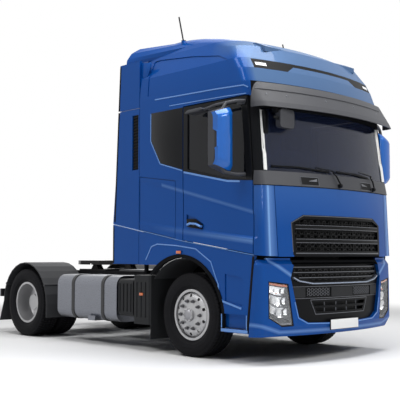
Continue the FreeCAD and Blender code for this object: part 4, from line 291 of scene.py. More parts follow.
@dataclass(frozen=True)
class CarPaint(Finish):
    """Metallic body paint under a clear coat, with painted highlights where a mask is given."""

    colour: Colour = (0.0028, 0.060, 0.272)
    roughness: float = 0.32
    metallic: float = 0.25
    specular: float = 0.0
    flake: float = 0.10
    coat: float = 0.28
    # painted highlights: a mask of where light catches the paint, and the lighter colour mixed in there
    glow: Callable[[Graph], Socket] | None = None
    glow_colour: Colour = (0.20, 0.38, 0.72)

    def inputs(self, graph: Graph) -> dict:
        """Return a coated metallic base with fine flakes, a faint orange peel and, where a mask is given,
        painted highlights.

        Args:
            graph: the material's graph.

        Returns:
            Socket names with their values.
        """
        flakes = graph.noise(2600.0, 1.0)
        cloud = graph.noise(1.4, 2.0)
        peel = graph.noise(90.0, 1.0)
        colour = graph.mix(flakes * 0.7 + cloud * 0.3, self.shade(1.0 - self.flake),
                           self.shade(1.0 + self.flake))
        if self.glow:
            # painted highlight: the lighter colour mixed in by the mask
            colour = graph.mix(self.glow(graph), colour, self.glow_colour)
        return {"Base Color": colour, "Roughness": self.roughness + flakes * 0.08,
                "Metallic": self.metallic, "Coat Weight": self.coat, "Coat Roughness": 0.04,
                "Normal": graph.bump(peel, 0.03, FINE_LIFT)}


def band(distance: Socket, half: float) -> Socket:
    """Return 1 on a line that falls to 0 at half the band's width on both sides."""
    return 1 - abs(distance) / half | 0.0


def side_glow(graph: Graph) -> Socket:
    """Return the share of painted highlight along the side's long creases.

    Args:
        graph: the material's graph.

    Returns:
        The share of the painted highlight colour.
    """
    door_front, fairing_front, outer_skin = 1.07, 0.85, 1.235
    run, height = graph.axis("X"), graph.axis("Z")
    upper = band(height + run * 0.253 - 2.346, 0.030) * (run > door_front) * 0.28
    lower = band(height + run * 0.1128 - 1.658, 0.042) * (run - fairing_front) * 0.26
    return (upper | lower | 0.0) * (abs(graph.axis("Y")) > outer_skin)


def front_glow(graph: Graph) -> Socket:
    """Return the share of painted highlight on the front's corners, the bumper's shoulders and its foot, with
    a faint painted sheen below the cowl.

    Args:
        graph: the material's graph.

    Returns:
        The share of the painted highlight colour.
    """
    split, cowl, crown = 1.165, 1.99, 1.96
    across, height = abs(graph.axis("Y")), graph.axis("Z")
    soft = band(across - 1.105, 0.085) * 0.40
    corner = (soft | band(across - 1.125, 0.028)) * (height > split) * (height < cowl)
    line = band(height - across * 0.62 - 0.462, 0.034)
    shoulder = line * (across > 0.80) * (across < 1.12) * (height < split)
    # painted highlight along the bumper's foot
    foot = band(height - 0.362 - (across * 0.3 - 0.29 | 0.0), 0.030) * 0.5
    # painted sheen: the lid lighter near the cowl
    sheen = band(height - crown, 0.45) * 0.10
    return corner | shoulder * 0.6 | foot | sheen


def rise(value: Socket) -> Socket:
    """Return a number held between 0 and 1."""
    return 1 - (1 - value | 0.0) | 0.0


def roof_glow(graph: Graph) -> Socket:
    """Return the share of painted sky reflection on the roof's front, fading towards the sides and the crown.
    """
    return rise((1.22 - abs(graph.axis("Y"))) / 0.10) * rise((graph.axis("X") - 1.85) / 0.40)


def antenna_zone(graph: Graph) -> Socket:
    """Return 1 on the two antennas over the roof."""
    near = (abs(abs(graph.axis("Y")) - 1.0) < 0.035) * (abs(graph.axis("X") - 1.160) < 0.085)
    return near * (graph.axis("Z") > 3.905)


def shell_zone(graph: Graph) -> Socket:
    """Return 1 inside the cab and on its front pillars.

    Args:
        graph: the material's graph.

    Returns:
        The mask.
    """
    inner_skin, rear_wall, pillar_foot = 1.2, 0.675, 2.515
    belt, header = 2.03, 2.996
    inside = (abs(graph.axis("Y")) < inner_skin) * (graph.axis("X") > rear_wall)
    height = graph.axis("Z")
    pillar = (graph.axis("X") > pillar_foot) * (height > belt) * (height < header)
    return inside | pillar


def leaf_zone(graph: Graph) -> Socket:
    """Return 1 on the inner face of a door or hatch, and on the door's window frame.

    Args:
        graph: the material's graph.

    Returns:
        The mask.
    """
    inner_skin = 1.2215
    rear_belt = graph.axis("Z") + graph.axis("X") * 0.2043 > 2.5165
    front_belt = graph.axis("Z") + graph.axis("X") * 0.0818 > 2.2490
    return (abs(graph.axis("Y")) < inner_skin) | rear_belt * front_belt


def fairing_zone(graph: Graph) -> Socket:
    """Return 1 on the wheel arch's lip and behind the fairing's outer skin, but not in the step well.

    Args:
        graph: the material's graph.

    Returns:
        The mask.
    """
    arch_x, arch_z, lip_outer, lip_inner = 1.4175, 0.460, 0.7590, 0.70
    inner_skin, well_top = 1.2, 0.58
    run = graph.axis("X") - arch_x
    lift = graph.axis("Z") - arch_z
    square = run * run + lift * lift
    lip = (square < lip_outer ** 2) * (square > lip_inner ** 2)
    return lip | (abs(graph.axis("Y")) < inner_skin) * (graph.axis("Z") > well_top)


def split_zone(graph: Graph) -> Socket:
    """Return 1 where the front's dark middle runs across the split between lid and bumper."""
    return (abs(graph.axis("Y")) < 0.815) * (graph.axis("Z") > 1.10) * (graph.axis("Z") < 1.2135)


def strap_zone(graph: Graph) -> Socket:
    """Return 1 under the tanks' straps."""
    place, half = graph.axis("X"), 0.032
    return (abs(place + 0.839) < half) | (abs(place + 0.154) < half)


@dataclass(frozen=True)
class BrushedMetal(Finish):
    """Bare metal brushed along one axis."""

    brush: Place = (1.5, 90.0, 90.0)

    def inputs(self, graph: Graph) -> dict:
        """Return long fine scratches in roughness and height.

        Args:
            graph: the material's graph.

        Returns:
            Socket names with their values.
        """
        lines = graph.noise(6.0, 6.0, self.brush)
        cloud = graph.noise(2.0, 3.0)
        return {"Base Color": graph.mix(cloud, self.shade(1.0 - self.tint), self.colour),
                "Roughness": self.roughness + (lines - 0.5) * 0.25,
                "Metallic": self.metallic,
                "Normal": graph.bump(lines, self.depth, FINE_LIFT)}


@dataclass(frozen=True)
class Woven(Finish):
    """Woven cloth of crossed threads."""

    def inputs(self, graph: Graph) -> dict:
        """Return threads that cross in height and colour.

        Args:
            graph: the material's graph.

        Returns:
            Socket names with their values.
        """
        warp, weft = (graph.wave(way, self.grain, bend=0.4) for way in ("Y", "X"))
        threads = warp * 0.5 + weft * 0.5
        return {"Base Color": graph.mix(threads, self.shade(1.0 - self.tint * 3), self.colour),
                "Roughness": self.roughness + threads * 0.08, "Sheen Weight": 0.25,
                "Normal": graph.bump(threads, self.depth, GRAIN_LIFT)}


@dataclass(frozen=True)
class Glass(Finish):
    """A clear or tinted pane or lens that lets light through by its alpha."""

    alpha: float = 0.5

    def inputs(self, graph: Graph) -> dict:
        """Return a smooth see-through surface with faint smears."""
        smear = graph.noise(5.0, 4.0)
        return {"Base Color": (*self.colour, 1.0), "Roughness": self.roughness + smear * 0.02,
                "Metallic": 0.0, "Alpha": self.alpha, "IOR": 1.45}


@dataclass(frozen=True)
class Lens(Finish):
    """A moulded coloured lens with fine prisms behind its gloss."""

    def inputs(self, graph: Graph) -> dict:
        """Return prism rows in height and colour.

        Args:
            graph: the material's graph.

        Returns:
            Socket names with their values.
        """
        rows = graph.wave("Z", self.grain)
        return {"Base Color": graph.mix(rows, self.shade(0.7), self.colour),
                "Roughness": self.roughness + rows * 0.05, "Coat Weight": 1.0, "Coat Roughness": 0.02,
                "Normal": graph.bump(rows, self.depth, GRAIN_LIFT)}


@dataclass(frozen=True)
class TreadPlate(Finish):
    """Metal plate with raised crossed bars."""

    def inputs(self, graph: Graph) -> dict:
        """Return raised bars that lean both ways by turns.

        Args:
            graph: the material's graph.

        Returns:
            Socket names with their values.
        """
        first, second = (graph.wave("DIAGONAL", self.grain, (1.0, lean, 0.0)) for lean in (1.0, -1.0))
        bars = first * second
        return {"Base Color": graph.mix(graph.noise(4.0, 3.0), self.colour, self.shade(1.0 - self.tint)),
                "Roughness": self.roughness + bars * 0.1, "Metallic": self.metallic,
                "Normal": graph.bump(bars, self.depth, 0.002)}


BLUE_PAINT = CarPaint("blue_body_paint")
# the roof's front gets a greyer colour mixed in: a painted reflection of the sky
BLUE_ROOF = CarPaint("blue_roof_paint", zone=antenna_zone, glow=roof_glow, glow_colour=(0.067, 0.130, 0.258))
BLUE_SHELL = CarPaint("blue_cab_paint", zone=shell_zone, glow=side_glow)
BLUE_LEAF = CarPaint("blue_door_paint", zone=leaf_zone, glow=side_glow)
BLUE_FAIRING = CarPaint("blue_fairing_paint", zone=fairing_zone)
BLUE_FRONT = CarPaint("blue_front_paint", zone=split_zone, glow=front_glow)
# the mirror cover's paint is lighter than the body's: painted light on the cover
MIRROR_COVER_LIT_PAINT = CarPaint("mirror_cover_paint", (0.006, 0.105, 0.430), 0.30, coat=0.8)
BLUE_CORNER = CarPaint("blue_corner_paint", glow=front_glow)
# a lighter copy of the body paint: painted highlight on ribs, lips, creases, edges and the handle's grip
EDGE_HIGHLIGHT_PAINT = CarPaint("bright_edge_paint", (0.060, 0.210, 0.560), 0.24, 0.35, specular=0.5, coat=1.0)
SATIN_BLACK = Finish("satin_black_plastic", (0.0045, 0.0048, 0.0056), 0.40, 0.0, 500.0, 0.05, specular=0.08)
GLOSS_BLACK = Finish("gloss_black_panel", (0.008, 0.0085, 0.010), 0.20, 0.0, 700.0, 0.02, specular=0.12)
DARK_PLASTIC = Finish("grained_dark_plastic", (0.030, 0.0315, 0.038), 0.48, 0.0, 900.0, 0.14, specular=0.35)
GREY_PLASTIC = Finish("moulded_grey_plastic", (0.020, 0.021, 0.023), 0.52, 0.0, 700.0, 0.16, specular=0.12)
GUARD_PLASTIC = Finish("mudguard_plastic", (0.028, 0.029, 0.032), 0.55, 0.0, 260.0, 0.3, specular=0.3)
CHASSIS_PAINT = Finish("black_chassis_paint", (0.009, 0.009, 0.0105), 0.48, 0.0, 220.0, 0.12, 0.3, 0.1)
STEEL_COVER = Finish("painted_steel_cover", (0.035, 0.036, 0.039), 0.42, 0.3, 160.0, 0.08, 0.2, 0.3)
COUPLING_IRON = Finish("greased_cast_iron", (0.022, 0.021, 0.021), 0.40, 0.5, 120.0, 0.3, 0.3, 0.3)
TYRE_RUBBER = Finish("black_tyre_rubber", (0.0065, 0.0065, 0.0080), 0.66, 0.0, 420.0, 0.2, 0.2, 0.10)
RIM_SILVER = Finish("silver_rim_paint", (0.44, 0.44, 0.45), 0.34, 0.70, 500.0, 0.04, 0.1)
HUB_STEEL = Finish("hub_steel", (0.28, 0.28, 0.30), 0.34, 0.85, 400.0, 0.06, 0.15)
NUT_STEEL = Finish("nut_steel", (0.16, 0.16, 0.17), 0.34, 0.90, 600.0, 0.05)
TANK_ALUMINIUM = BrushedMetal("brushed_aluminium", (0.22, 0.23, 0.26), 0.30, 0.95, 300.0, 0.10,
                              zone=strap_zone)
CHROME = Finish("bright_reflector", (0.93, 0.94, 0.96), 0.16, 1.0, 200.0, 0.02, 0.04)
# near white: a painted highlight on the windscreen's curved edge beside the pillars
PILLAR_HIGHLIGHT = Finish("bright_pillar_strip", (0.88, 0.88, 0.86), 0.28, 0.20, 500.0, 0.02, 0.04)
BOW_SILVER = Finish("blue_grey_bow", (0.26, 0.30, 0.38), 0.26, 0.6, 500.0, 0.02, 0.04)
DARK_SILVER = Finish("dark_silver_trim", (0.115, 0.120, 0.135), 0.34, 0.55, 600.0, 0.03)
CAB_TRIM = Finish("cab_trim_plastic", (0.050, 0.052, 0.060), 0.62, 0.0, 800.0, 0.2, specular=0.3)
SEAT_CLOTH = Woven("woven_seat_cloth", (0.040, 0.045, 0.062), 0.85, 0.0, 190.0, 0.35)
SCREEN_GLASS = Glass("windscreen_glass", (0.014, 0.021, 0.052), 0.02, specular=0.45, alpha=0.66)
SIDE_GLASS = Glass("dark_side_glass", (0.006, 0.007, 0.010), 0.02, specular=0.3, alpha=0.90)
CLEAR_LENS = Glass("clear_lamp_lens", (0.85, 0.88, 0.92), 0.02, alpha=0.10)
AMBER_LENS = Lens("amber_lens", (0.70, 0.13, 0.008), 0.14, 0.0, 60.0, 0.15)
RED_LENS = Lens("red_lens", (0.36, 0.010, 0.010), 0.14, 0.0, 60.0, 0.15)
WHITE_LENS = Lens("white_lens", (0.78, 0.79, 0.80), 0.12, 0.0, 60.0, 0.15)
PLATE_WHITE = Finish("plate_white", (0.80, 0.80, 0.80), 0.35, 0.0, 300.0, 0.03, 0.02)
MIRROR_GLASS = Finish("mirror_glass", (0.72, 0.74, 0.76), 0.03, 1.0, 50.0, 0.0, 0.02)
TREAD_PLATE = TreadPlate("tread_plate", (0.10, 0.10, 0.105), 0.40, 0.8, 12.0, 0.5)
DARK_MESH = Finish("dark_mesh", (0.014, 0.0145, 0.016), 0.42, 0.2, 500.0, 0.05, specular=0.3)


def centre(node: str) -> Vector:
    """Return the middle of a CAD node's box."""
    low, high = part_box(node)
    return (low + high) / 2


FRONT_AXLE = centre("tyre_front_left")
REAR_AXLE = centre("tyres_rear_left")


def ahead(distance: float) -> float:
    """Return the x of a place that stands this far ahead of the front axle."""
    return FRONT_AXLE.x + distance


def bowed(x: float, y: float) -> float:
    """Return the x of a bowed sheet at a width, from its x in the middle."""
    return x - BOW_RADIUS + math.sqrt(BOW_RADIUS ** 2 - y * y)


def rearward(depth: float) -> Vector:
    """Return a step towards the rear."""
    return Vector((-depth, 0.0, 0.0))


def towards_middle(side: Side, depth: float) -> Vector:
    """Return a step from one side towards the middle plane."""
    return Vector((0.0, -side.value * depth, 0.0))


def spokes(across: Vector, other: Vector, count: int) -> list[Vector]:
    """Return evenly spaced directions round a circle, from two that stand square to each other."""
    angles = [2 * math.pi * step / count for step in range(count)]
    return [across * math.cos(angle) + other * math.sin(angle) for angle in angles]


def part_way(start: Point, end: Point, share: float) -> Point:
    """Return the point that lies at a share of the way between two."""
    return start[0] + (end[0] - start[0]) * share, start[1] + (end[1] - start[1]) * share


class Skin:
    """The outer faces of some CAD nodes, found by looking at them along a line."""

    def __init__(self, *nodes: str) -> None:
        """Gather the nodes' faces.

        Args:
            nodes: names of CAD nodes.
        """
        corners: list[Vector] = []
        faces: list[list[int]] = []
        for name in nodes:
            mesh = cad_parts[name].data
            start = len(corners)
            corners.extend(vertex.co.copy() for vertex in mesh.vertices)
            faces.extend([start + index for index in face.vertices] for face in mesh.polygons)
        self.tree = BVHTree.FromPolygons(corners, faces)

    def front(self, y: float, z: float, spare: float) -> float:
        """Return the x of the foremost face at y and z, or a spare value."""
        hit = self.tree.ray_cast(Vector((9.0, y, z)), Vector((-1.0, 0.0, 0.0)))[0]
        return hit.x if hit else spare


def front_path(skin: Skin, points: Sequence[Point], proud: float, step: float = 0.05) -> list[Vector]:
    """Return points along a (y, z) path on the faces seen from the front.

    Args:
        skin: the faces to lie on.
        points: the path's corners.
        proud: how far the points stand out of the faces.
        step: the longest run between two points.

    Returns:
        The points, those off the faces left out.
    """
    path = []
    for (y, z), (next_y, next_z) in zip(points, points[1:]):
        count = max(2, int(math.hypot(next_y - y, next_z - z) / step) + 1)
        for share in spread(0.0, 1.0, count):
            spot_y, spot_z = y + (next_y - y) * share, z + (next_z - z) * share
            x = skin.front(spot_y, spot_z, 0.0)
            if x and (not path or (path[-1].y, path[-1].z) != (spot_y, spot_z)):
                path.append(Vector((x + proud, spot_y, spot_z)))
    return path


def side_path(side: Side, points: Sequence[Point], reach: float) -> list[Vector]:
    """Return a side's points at one distance from the middle, from (x, z) ahead of the front axle."""
    return [Vector((ahead(x), side.value * reach, z)) for x, z in points]


class Form:
    """A mesh that grows from closed forms and becomes one named piece."""

    SKEW: Place = (0.31, 0.17, 0.93)

    def __init__(self) -> None:
        """Start an empty mesh."""
        self.mesh = bmesh.new()

    def _soften(self, faces: Iterable[bmesh.types.BMFace], width: float, steps: int = 2) -> None:
        """Bevel all edges of some faces."""
        edges = list({edge for face in faces for edge in face.edges})
        bmesh.ops.bevel(self.mesh, geom=edges, offset=width, segments=steps, affect="EDGES", profile=0.5)

    def _stitch(self, rings: Sequence[Sequence[Vector]], closed: bool) -> list[bmesh.types.BMFace]:
        """Add a skin over closed rings of points.

        Args:
            rings: rings with as many points each.
            closed: whether the last ring joins the first; if not, both ends get a flat face.

        Returns:
            The new faces.
        """
        made = [[self.mesh.verts.new(point) for point in ring] for ring in rings]
        faces = []
        for ring, after in zip(made, made[1:] + made[:1] if closed else made[1:]):
            for number in range(len(ring)):
                near = (number + 1) % len(ring)
                faces.append(self.mesh.faces.new((ring[number], ring[near], after[near], after[number])))
        if not closed:
            faces += [self.mesh.faces.new(made[0][::-1]), self.mesh.faces.new(made[-1])]
        return faces

    def prism(self, outline: Sequence[Vector], sweep: Vector, bevel: float = 0.0) -> "Form":
        """Add a closed outline swept along a vector.

        Args:
            outline: the corners in order.
            sweep: how far and which way it is swept.
            bevel: width of the softened edges.

        Returns:
            The form itself.
        """
        faces = self._stitch((outline, [Vector(point) + sweep for point in outline]), False)
        if bevel:
            self._soften(faces, bevel)
        return self

    def box(self, low: Sequence[float], high: Sequence[float], bevel: float = 0.0) -> "Form":
        """Add a box between two corners, with softened edges."""
        corners = [Vector(low), Vector((high[0], low[1], low[2])), Vector((high[0], high[1], low[2])),
                   Vector((low[0], high[1], low[2]))]
        return self.prism(corners, Vector((0.0, 0.0, high[2] - low[2])), bevel)

    def side_box(self, side: Side, low: Place, high: Place, bevel: float = 0.0) -> "Form":
        """Add a box on one side, its corners' y given as distances from the middle plane."""
        near, far = sorted((side.value * low[1], side.value * high[1]))
        return self.box((low[0], near, low[2]), (high[0], far, high[2]), bevel)

    def ring(self, profile: Sequence[Point], middle: Vector, axis: Vector, steps: int = 64,
             dent: Callable[[int, int], float] | None = None) -> "Form":
        """Turn a closed profile about an axis.

        Args:
            profile: (radius, distance along the axis) points in order.
            middle: a point on the axis.
            axis: the axis' direction.
            steps: how many turns the circle is split into.
            dent: takes the step and the profile point, and gives how far it lies in.

        Returns:
            The form itself.
        """
        along = axis.normalized()
        across = along.orthogonal().normalized()
        rows = []
        for step, way in enumerate(spokes(across, along.cross(across), steps)):
            rows.append([middle + way * (radius - (dent(step, number) if dent else 0.0)) + along * offset
                         for number, (radius, offset) in enumerate(profile)])
        self._stitch(rows, True)
        return self

    def tube(self, path: Sequence[Vector], radius: float, sides: int = 12) -> "Form":
        """Add a round bar along a path of points.

        Args:
            path: the points of its middle line.
            radius: the bar's radius.
            sides: how many sides it has.

        Returns:
            The form itself.
        """
        rows = []
        for number, point in enumerate(path):
            before = path[max(0, number - 1)]
            after = path[min(len(path) - 1, number + 1)]
            along = (after - before).normalized()
            across = along.cross(Vector(self.SKEW)).normalized()
            rows.append([point + way * radius for way in spokes(across, along.cross(across), sides)])
        return self.loft(rows)

    def slab(self, rows: Sequence[Sequence[Vector]], depth: Vector) -> "Form":
        """Add a panel from a grid of points, thickened along a vector.

        Args:
            rows: rows of points on the near face.
            depth: the step to the far face.

        Returns:
            The form itself.
        """
        near, far = ([[self.mesh.verts.new(Vector(point) + step) for point in row] for row in rows]
                     for step in (Vector(), depth))
        high, wide = len(rows), len(rows[0])
        for row in range(high - 1):
            for column in range(wide - 1):
                self._quad(near, row, column, False)
                self._quad(far, row, column, True)
        for row in range(high - 1):
            for column in (0, wide - 1):
                self.mesh.faces.new((near[row][column], near[row + 1][column],
                                     far[row + 1][column], far[row][column]))
        for column in range(wide - 1):
            for row in (0, high - 1):
                self.mesh.faces.new((near[row][column], near[row][column + 1],
                                     far[row][column + 1], far[row][column]))
        return self

    def ribbon(self, path: Sequence[Vector], width: float, depth: Vector) -> "Form":
        """Add a strip of one width that follows a path, with its thickness as a vector.

        Args:
            path: the points of its middle line.
            width: the strip's width.
            depth: the step to the far face.

        Returns:
            The form itself.
        """
        rows = []
        for number, point in enumerate(path):
            along = path[min(number + 1, len(path) - 1)] - path[max(number - 1, 0)]
            across = along.cross(depth).normalized() * width / 2
            rows.append([point - across, point + across])
        return self.slab(rows, depth)

    def loft(self, rings: Sequence[Sequence[Vector]]) -> "Form":
        """Add a closed skin over rings of points, with flat ends."""
        self._stitch(rings, False)
        return self

    def frame(self, outer: Sequence[Vector], inner: Sequence[Vector], depth: Vector) -> "Form":
        """Add a closed frame between two outlines with as many points."""
        self._stitch((outer, inner, [point + depth for point in inner], [point + depth for point in outer]),
                     True)
        return self

    def _quad(self, grid: list, row: int, column: int, turned: bool) -> None:
        """Add one face of a grid."""
        corners = [grid[row][column], grid[row][column + 1], grid[row + 1][column + 1], grid[row + 1][column]]
        self.mesh.faces.new(corners[::-1] if turned else corners)

    def mirrored(self) -> "Form":
        """Add the form's image on the other side of the middle plane.

        Returns:
            The form itself.
        """
        made = bmesh.ops.duplicate(self.mesh,
                                   geom=self.mesh.verts[:] + self.mesh.edges[:] + self.mesh.faces[:])
        corners = [part for part in made["geom"] if isinstance(part, bmesh.types.BMVert)]
        bmesh.ops.scale(self.mesh, vec=(1.0, -1.0, 1.0), verts=corners)
        return self

    def piece(self, name: str, body: str, finish: Finish, smooth: float = 32.0) -> bpy.types.Object:
        """Close the form as a piece that rides on a body.

        Args:
            name: the piece's name.
            body: the CAD body that carries it.
            finish: its surface finish.
            smooth: edges flatter than this many degrees are shaded smooth.

        Returns:
            The new object.
        """
        bmesh.ops.remove_doubles(self.mesh, verts=self.mesh.verts, dist=1e-6)
        bmesh.ops.recalc_face_normals(self.mesh, faces=self.mesh.faces)
        data = bpy.data.meshes.new(name)
        self.mesh.to_mesh(data)
        self.mesh.free()
        data.polygons.foreach_set("use_smooth", [True] * len(data.polygons))
        data.set_sharp_from_angle(angle=math.radians(smooth))
        data.materials.append(finish.material())
        made = bpy.data.objects.new(name, data)
        bpy.context.scene.collection.objects.link(made)
        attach(made, body)
        LOG.info("%s rides on %s with %d faces", name, body, len(data.polygons))
        return made


def spread(low: float, high: float, count: int) -> list[float]:
    """Return evenly spaced numbers from low to high, both included."""
    return [low + (high - low) * step / (count - 1) for step in range(count)]


@dataclass(frozen=True)
class SoftBox:
    """One area lamp: its name, place, width and height, and power."""

    name: str
    place: Place
    size: Point
    power: float


@dataclass
class Studio:
    """The floor, lights, world and camera of the photograph's view."""

    floor_half: float = 60.0
    floor_tones: Point = (0.93, 0.95)
    sky: Colour = (0.93, 0.96, 1.0)
    ambient: float = 0.09
    clear_radius: float = 6.5
    white_radius: float = 11.0
    aim: Place = (0.4, 0.0, 1.6)
    boxes: tuple[SoftBox, ...] = (
        SoftBox("top_box", (3.0, -0.5, 9.5), (8.0, 5.0), 900.0),
        SoftBox("front_box", (10.5, 2.0, 7.0), (5.0, 2.0), 370.0),
        SoftBox("side_box", (-1.0, -8.6, 9.6), (9.0, 2.0), 430.0),
        SoftBox("corner_strip", (9.0, -3.6, 4.4), (0.5, 3.6), 70.0),
        SoftBox("rear_box", (-9.0, 8.0, 6.0), (6.0, 5.0), 160.0))
    focal_px: float = 827.80
    frame_px: float = 400.0
    sensor_mm: float = 36.0
    sight: float = 200.0
    eye: Place = (7.30909729, -7.90922586, 1.21295054)
    yaw: float = math.radians(136.67736308673028)
    pitch: float = math.radians(3.792467601847785)
    roll: float = math.radians(0.059236354453468185)

    def build(self) -> None:
        """Make everything that isn't the vehicle."""
        self.floor()
        self.world()
        self.lights()
        self.camera()

    def floor(self) -> None:
        """Make the pale floor, which keeps the shadow near the vehicle and is white further out."""
        form = Form()
        half = self.floor_half
        square = ((-half, -half), (half, -half), (half, half), (-half, half))
        form.mesh.faces.new([form.mesh.verts.new((x, y, 0.0)) for x, y in square])
        data = bpy.data.meshes.new("studio_floor")
        form.mesh.to_mesh(data)
        form.mesh.free()
        made = bpy.data.objects.new("studio_floor", data)
        bpy.context.scene.collection.objects.link(made)
        graph = Graph(bpy.data.materials.new("studio_floor_white"))
        distance = graph.node("ShaderNodeVectorMath", {"operation": "LENGTH"}, {0: graph.place()},
                              output="Value")
        far = graph.node("ShaderNodeMapRange", {"interpolation_type": "SMOOTHSTEP"},
                         {"Value": distance, "From Min": self.clear_radius, "From Max": self.white_radius})
        low, high = ((tone, tone, tone) for tone in self.floor_tones)
        pale = graph.node("ShaderNodeBsdfDiffuse", {}, {"Color": graph.mix(graph.noise(0.4), low, high)})
        white = graph.node("ShaderNodeEmission", {}, {"Color": (1.0, 1.0, 1.0, 1.0), "Strength": 1.0})
        shader = graph.node("ShaderNodeMixShader", {}, {0: far * graph.seen(), 1: pale, 2: white})
        data.materials.append(graph.close(shader))

    def world(self) -> None:
        """Make a world that is white to look at and a soft grey as light."""
        world = bpy.data.worlds.new("studio_world")
        bpy.context.scene.world = world
        graph = Graph(world)
        ambient = graph.node("ShaderNodeBackground", {},
                             {"Color": (*self.sky, 1.0), "Strength": self.ambient})
        white = graph.node("ShaderNodeBackground", {}, {"Color": (1.0, 1.0, 1.0, 1.0), "Strength": 1.0})
        shader = graph.node("ShaderNodeMixShader", {}, {0: graph.seen(), 1: ambient, 2: white})
        graph.close(shader, "ShaderNodeOutputWorld")

    def lights(self) -> None:
        """Hang the soft boxes: over the vehicle, before it, beside it and behind it."""
        for box in self.boxes:
            self.soft_box(box)

    def soft_box(self, box: SoftBox) -> None:
        """Hang one area lamp that faces the vehicle.

        Args:
            box: the lamp's sizes.
        """
        lamp = bpy.data.lights.new(box.name, "AREA")
        lamp.shape = "RECTANGLE"
        lamp.size, lamp.size_y = box.size
        lamp.energy = box.power
        made = bpy.data.objects.new(box.name, lamp)
        made.location = box.place
        way = Vector(self.aim) - Vector(box.place)
        made.rotation_euler = way.to_track_quat("-Z", "Y").to_euler()
        bpy.context.scene.collection.objects.link(made)

    def camera(self) -> None:
        """Set up the camera where the photograph was taken from."""
        level = math.cos(self.pitch)
        look = Vector((math.cos(self.yaw) * level, math.sin(self.yaw) * level, math.sin(self.pitch)))
        right = look.cross(Vector((0.0, 0.0, 1.0))).normalized()
        up = right.cross(look)
        turned_right = right * math.cos(self.roll) + up * math.sin(self.roll)
        turned_up = up * math.cos(self.roll) - right * math.sin(self.roll)
        data = bpy.data.cameras.new("photo_camera")
        data.sensor_width = self.sensor_mm
        data.lens = self.focal_px / self.frame_px * self.sensor_mm
        data.clip_end = self.sight
        made = bpy.data.objects.new("photo_camera", data)
        bpy.context.scene.collection.objects.link(made)
        axes = Matrix((turned_right, turned_up, -look)).transposed().to_4x4()
        eye = Vector(self.eye) + Vector((FRONT_AXLE.x, 0.0, 0.0))
        made.matrix_world = Matrix.Translation(eye) @ axes
        bpy.context.scene.camera = made
        bpy.context.scene.view_settings.view_transform = "Standard"


class CadDress:
    """The finishes of the CAD nodes that show as they are."""

    def build(self) -> None:
        """Give every CAD node its finish."""
        groups: dict[Finish, tuple[str, ...]] = {
            BLUE_ROOF: ("roof_shell", "roof_lamps"),
            BLUE_PAINT: ("roof_deflector", "side_deflectors"),
            BLUE_CORNER: ("corner_panels",),
            BLUE_FRONT: ("front_lid", "bumper"),
            BLUE_SHELL: ("cab_shell",),
            BLUE_LEAF: ("door_left", "door_right", "hatch_left", "hatch_right"),
            BLUE_FAIRING: ("side_fairings",),
            CHASSIS_PAINT: ("ladder_frame", "powertrain", "front_axle", "leaf_springs", "rear_axle",
                            "cab_supports", "knuckle_left", "knuckle_right", "tie_rod"),
            DARK_PLASTIC: ("sun_visor", "cowl_panel", "mirror_left", "mirror_right", "front_mirror"),
            GUARD_PLASTIC: ("rear_mudguards", "arch_liners"),
            SATIN_BLACK: ("upper_grille", "lower_grille", "wipers", "roof_strip"),
            GREY_PLASTIC: ("urea_tank", "side_covers"),
            CAB_TRIM: ("dashboard", "bunk_base", "steering_wheel"),
            SEAT_CLOTH: ("seats", "bunk_mattress"),
            SCREEN_GLASS: ("cab_glass",),
            SIDE_GLASS: ("door_glass_left", "door_glass_right"),
            CLEAR_LENS: ("headlamps",),
            RED_LENS: ("tail_lamps",),
            TANK_ALUMINIUM: ("fuel_tanks",),
            TREAD_PLATE: ("catwalk",),
            STEEL_COVER: ("exhaust_box",),
            COUPLING_IRON: ("fifth_wheel_base", "fifth_wheel_plate"),
            RIM_SILVER: ("rim_front_left", "rim_front_right", "rims_rear_left", "rims_rear_right"),
            TYRE_RUBBER: ("tyre_front_left", "tyre_front_right", "tyres_rear_left", "tyres_rear_right"),
        }
        for finish, nodes in groups.items():
            for name in nodes:
                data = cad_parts[name].data
                data.materials.clear()
                data.materials.append(finish.material())
                LOG.info("%s has %s", name, finish.name)


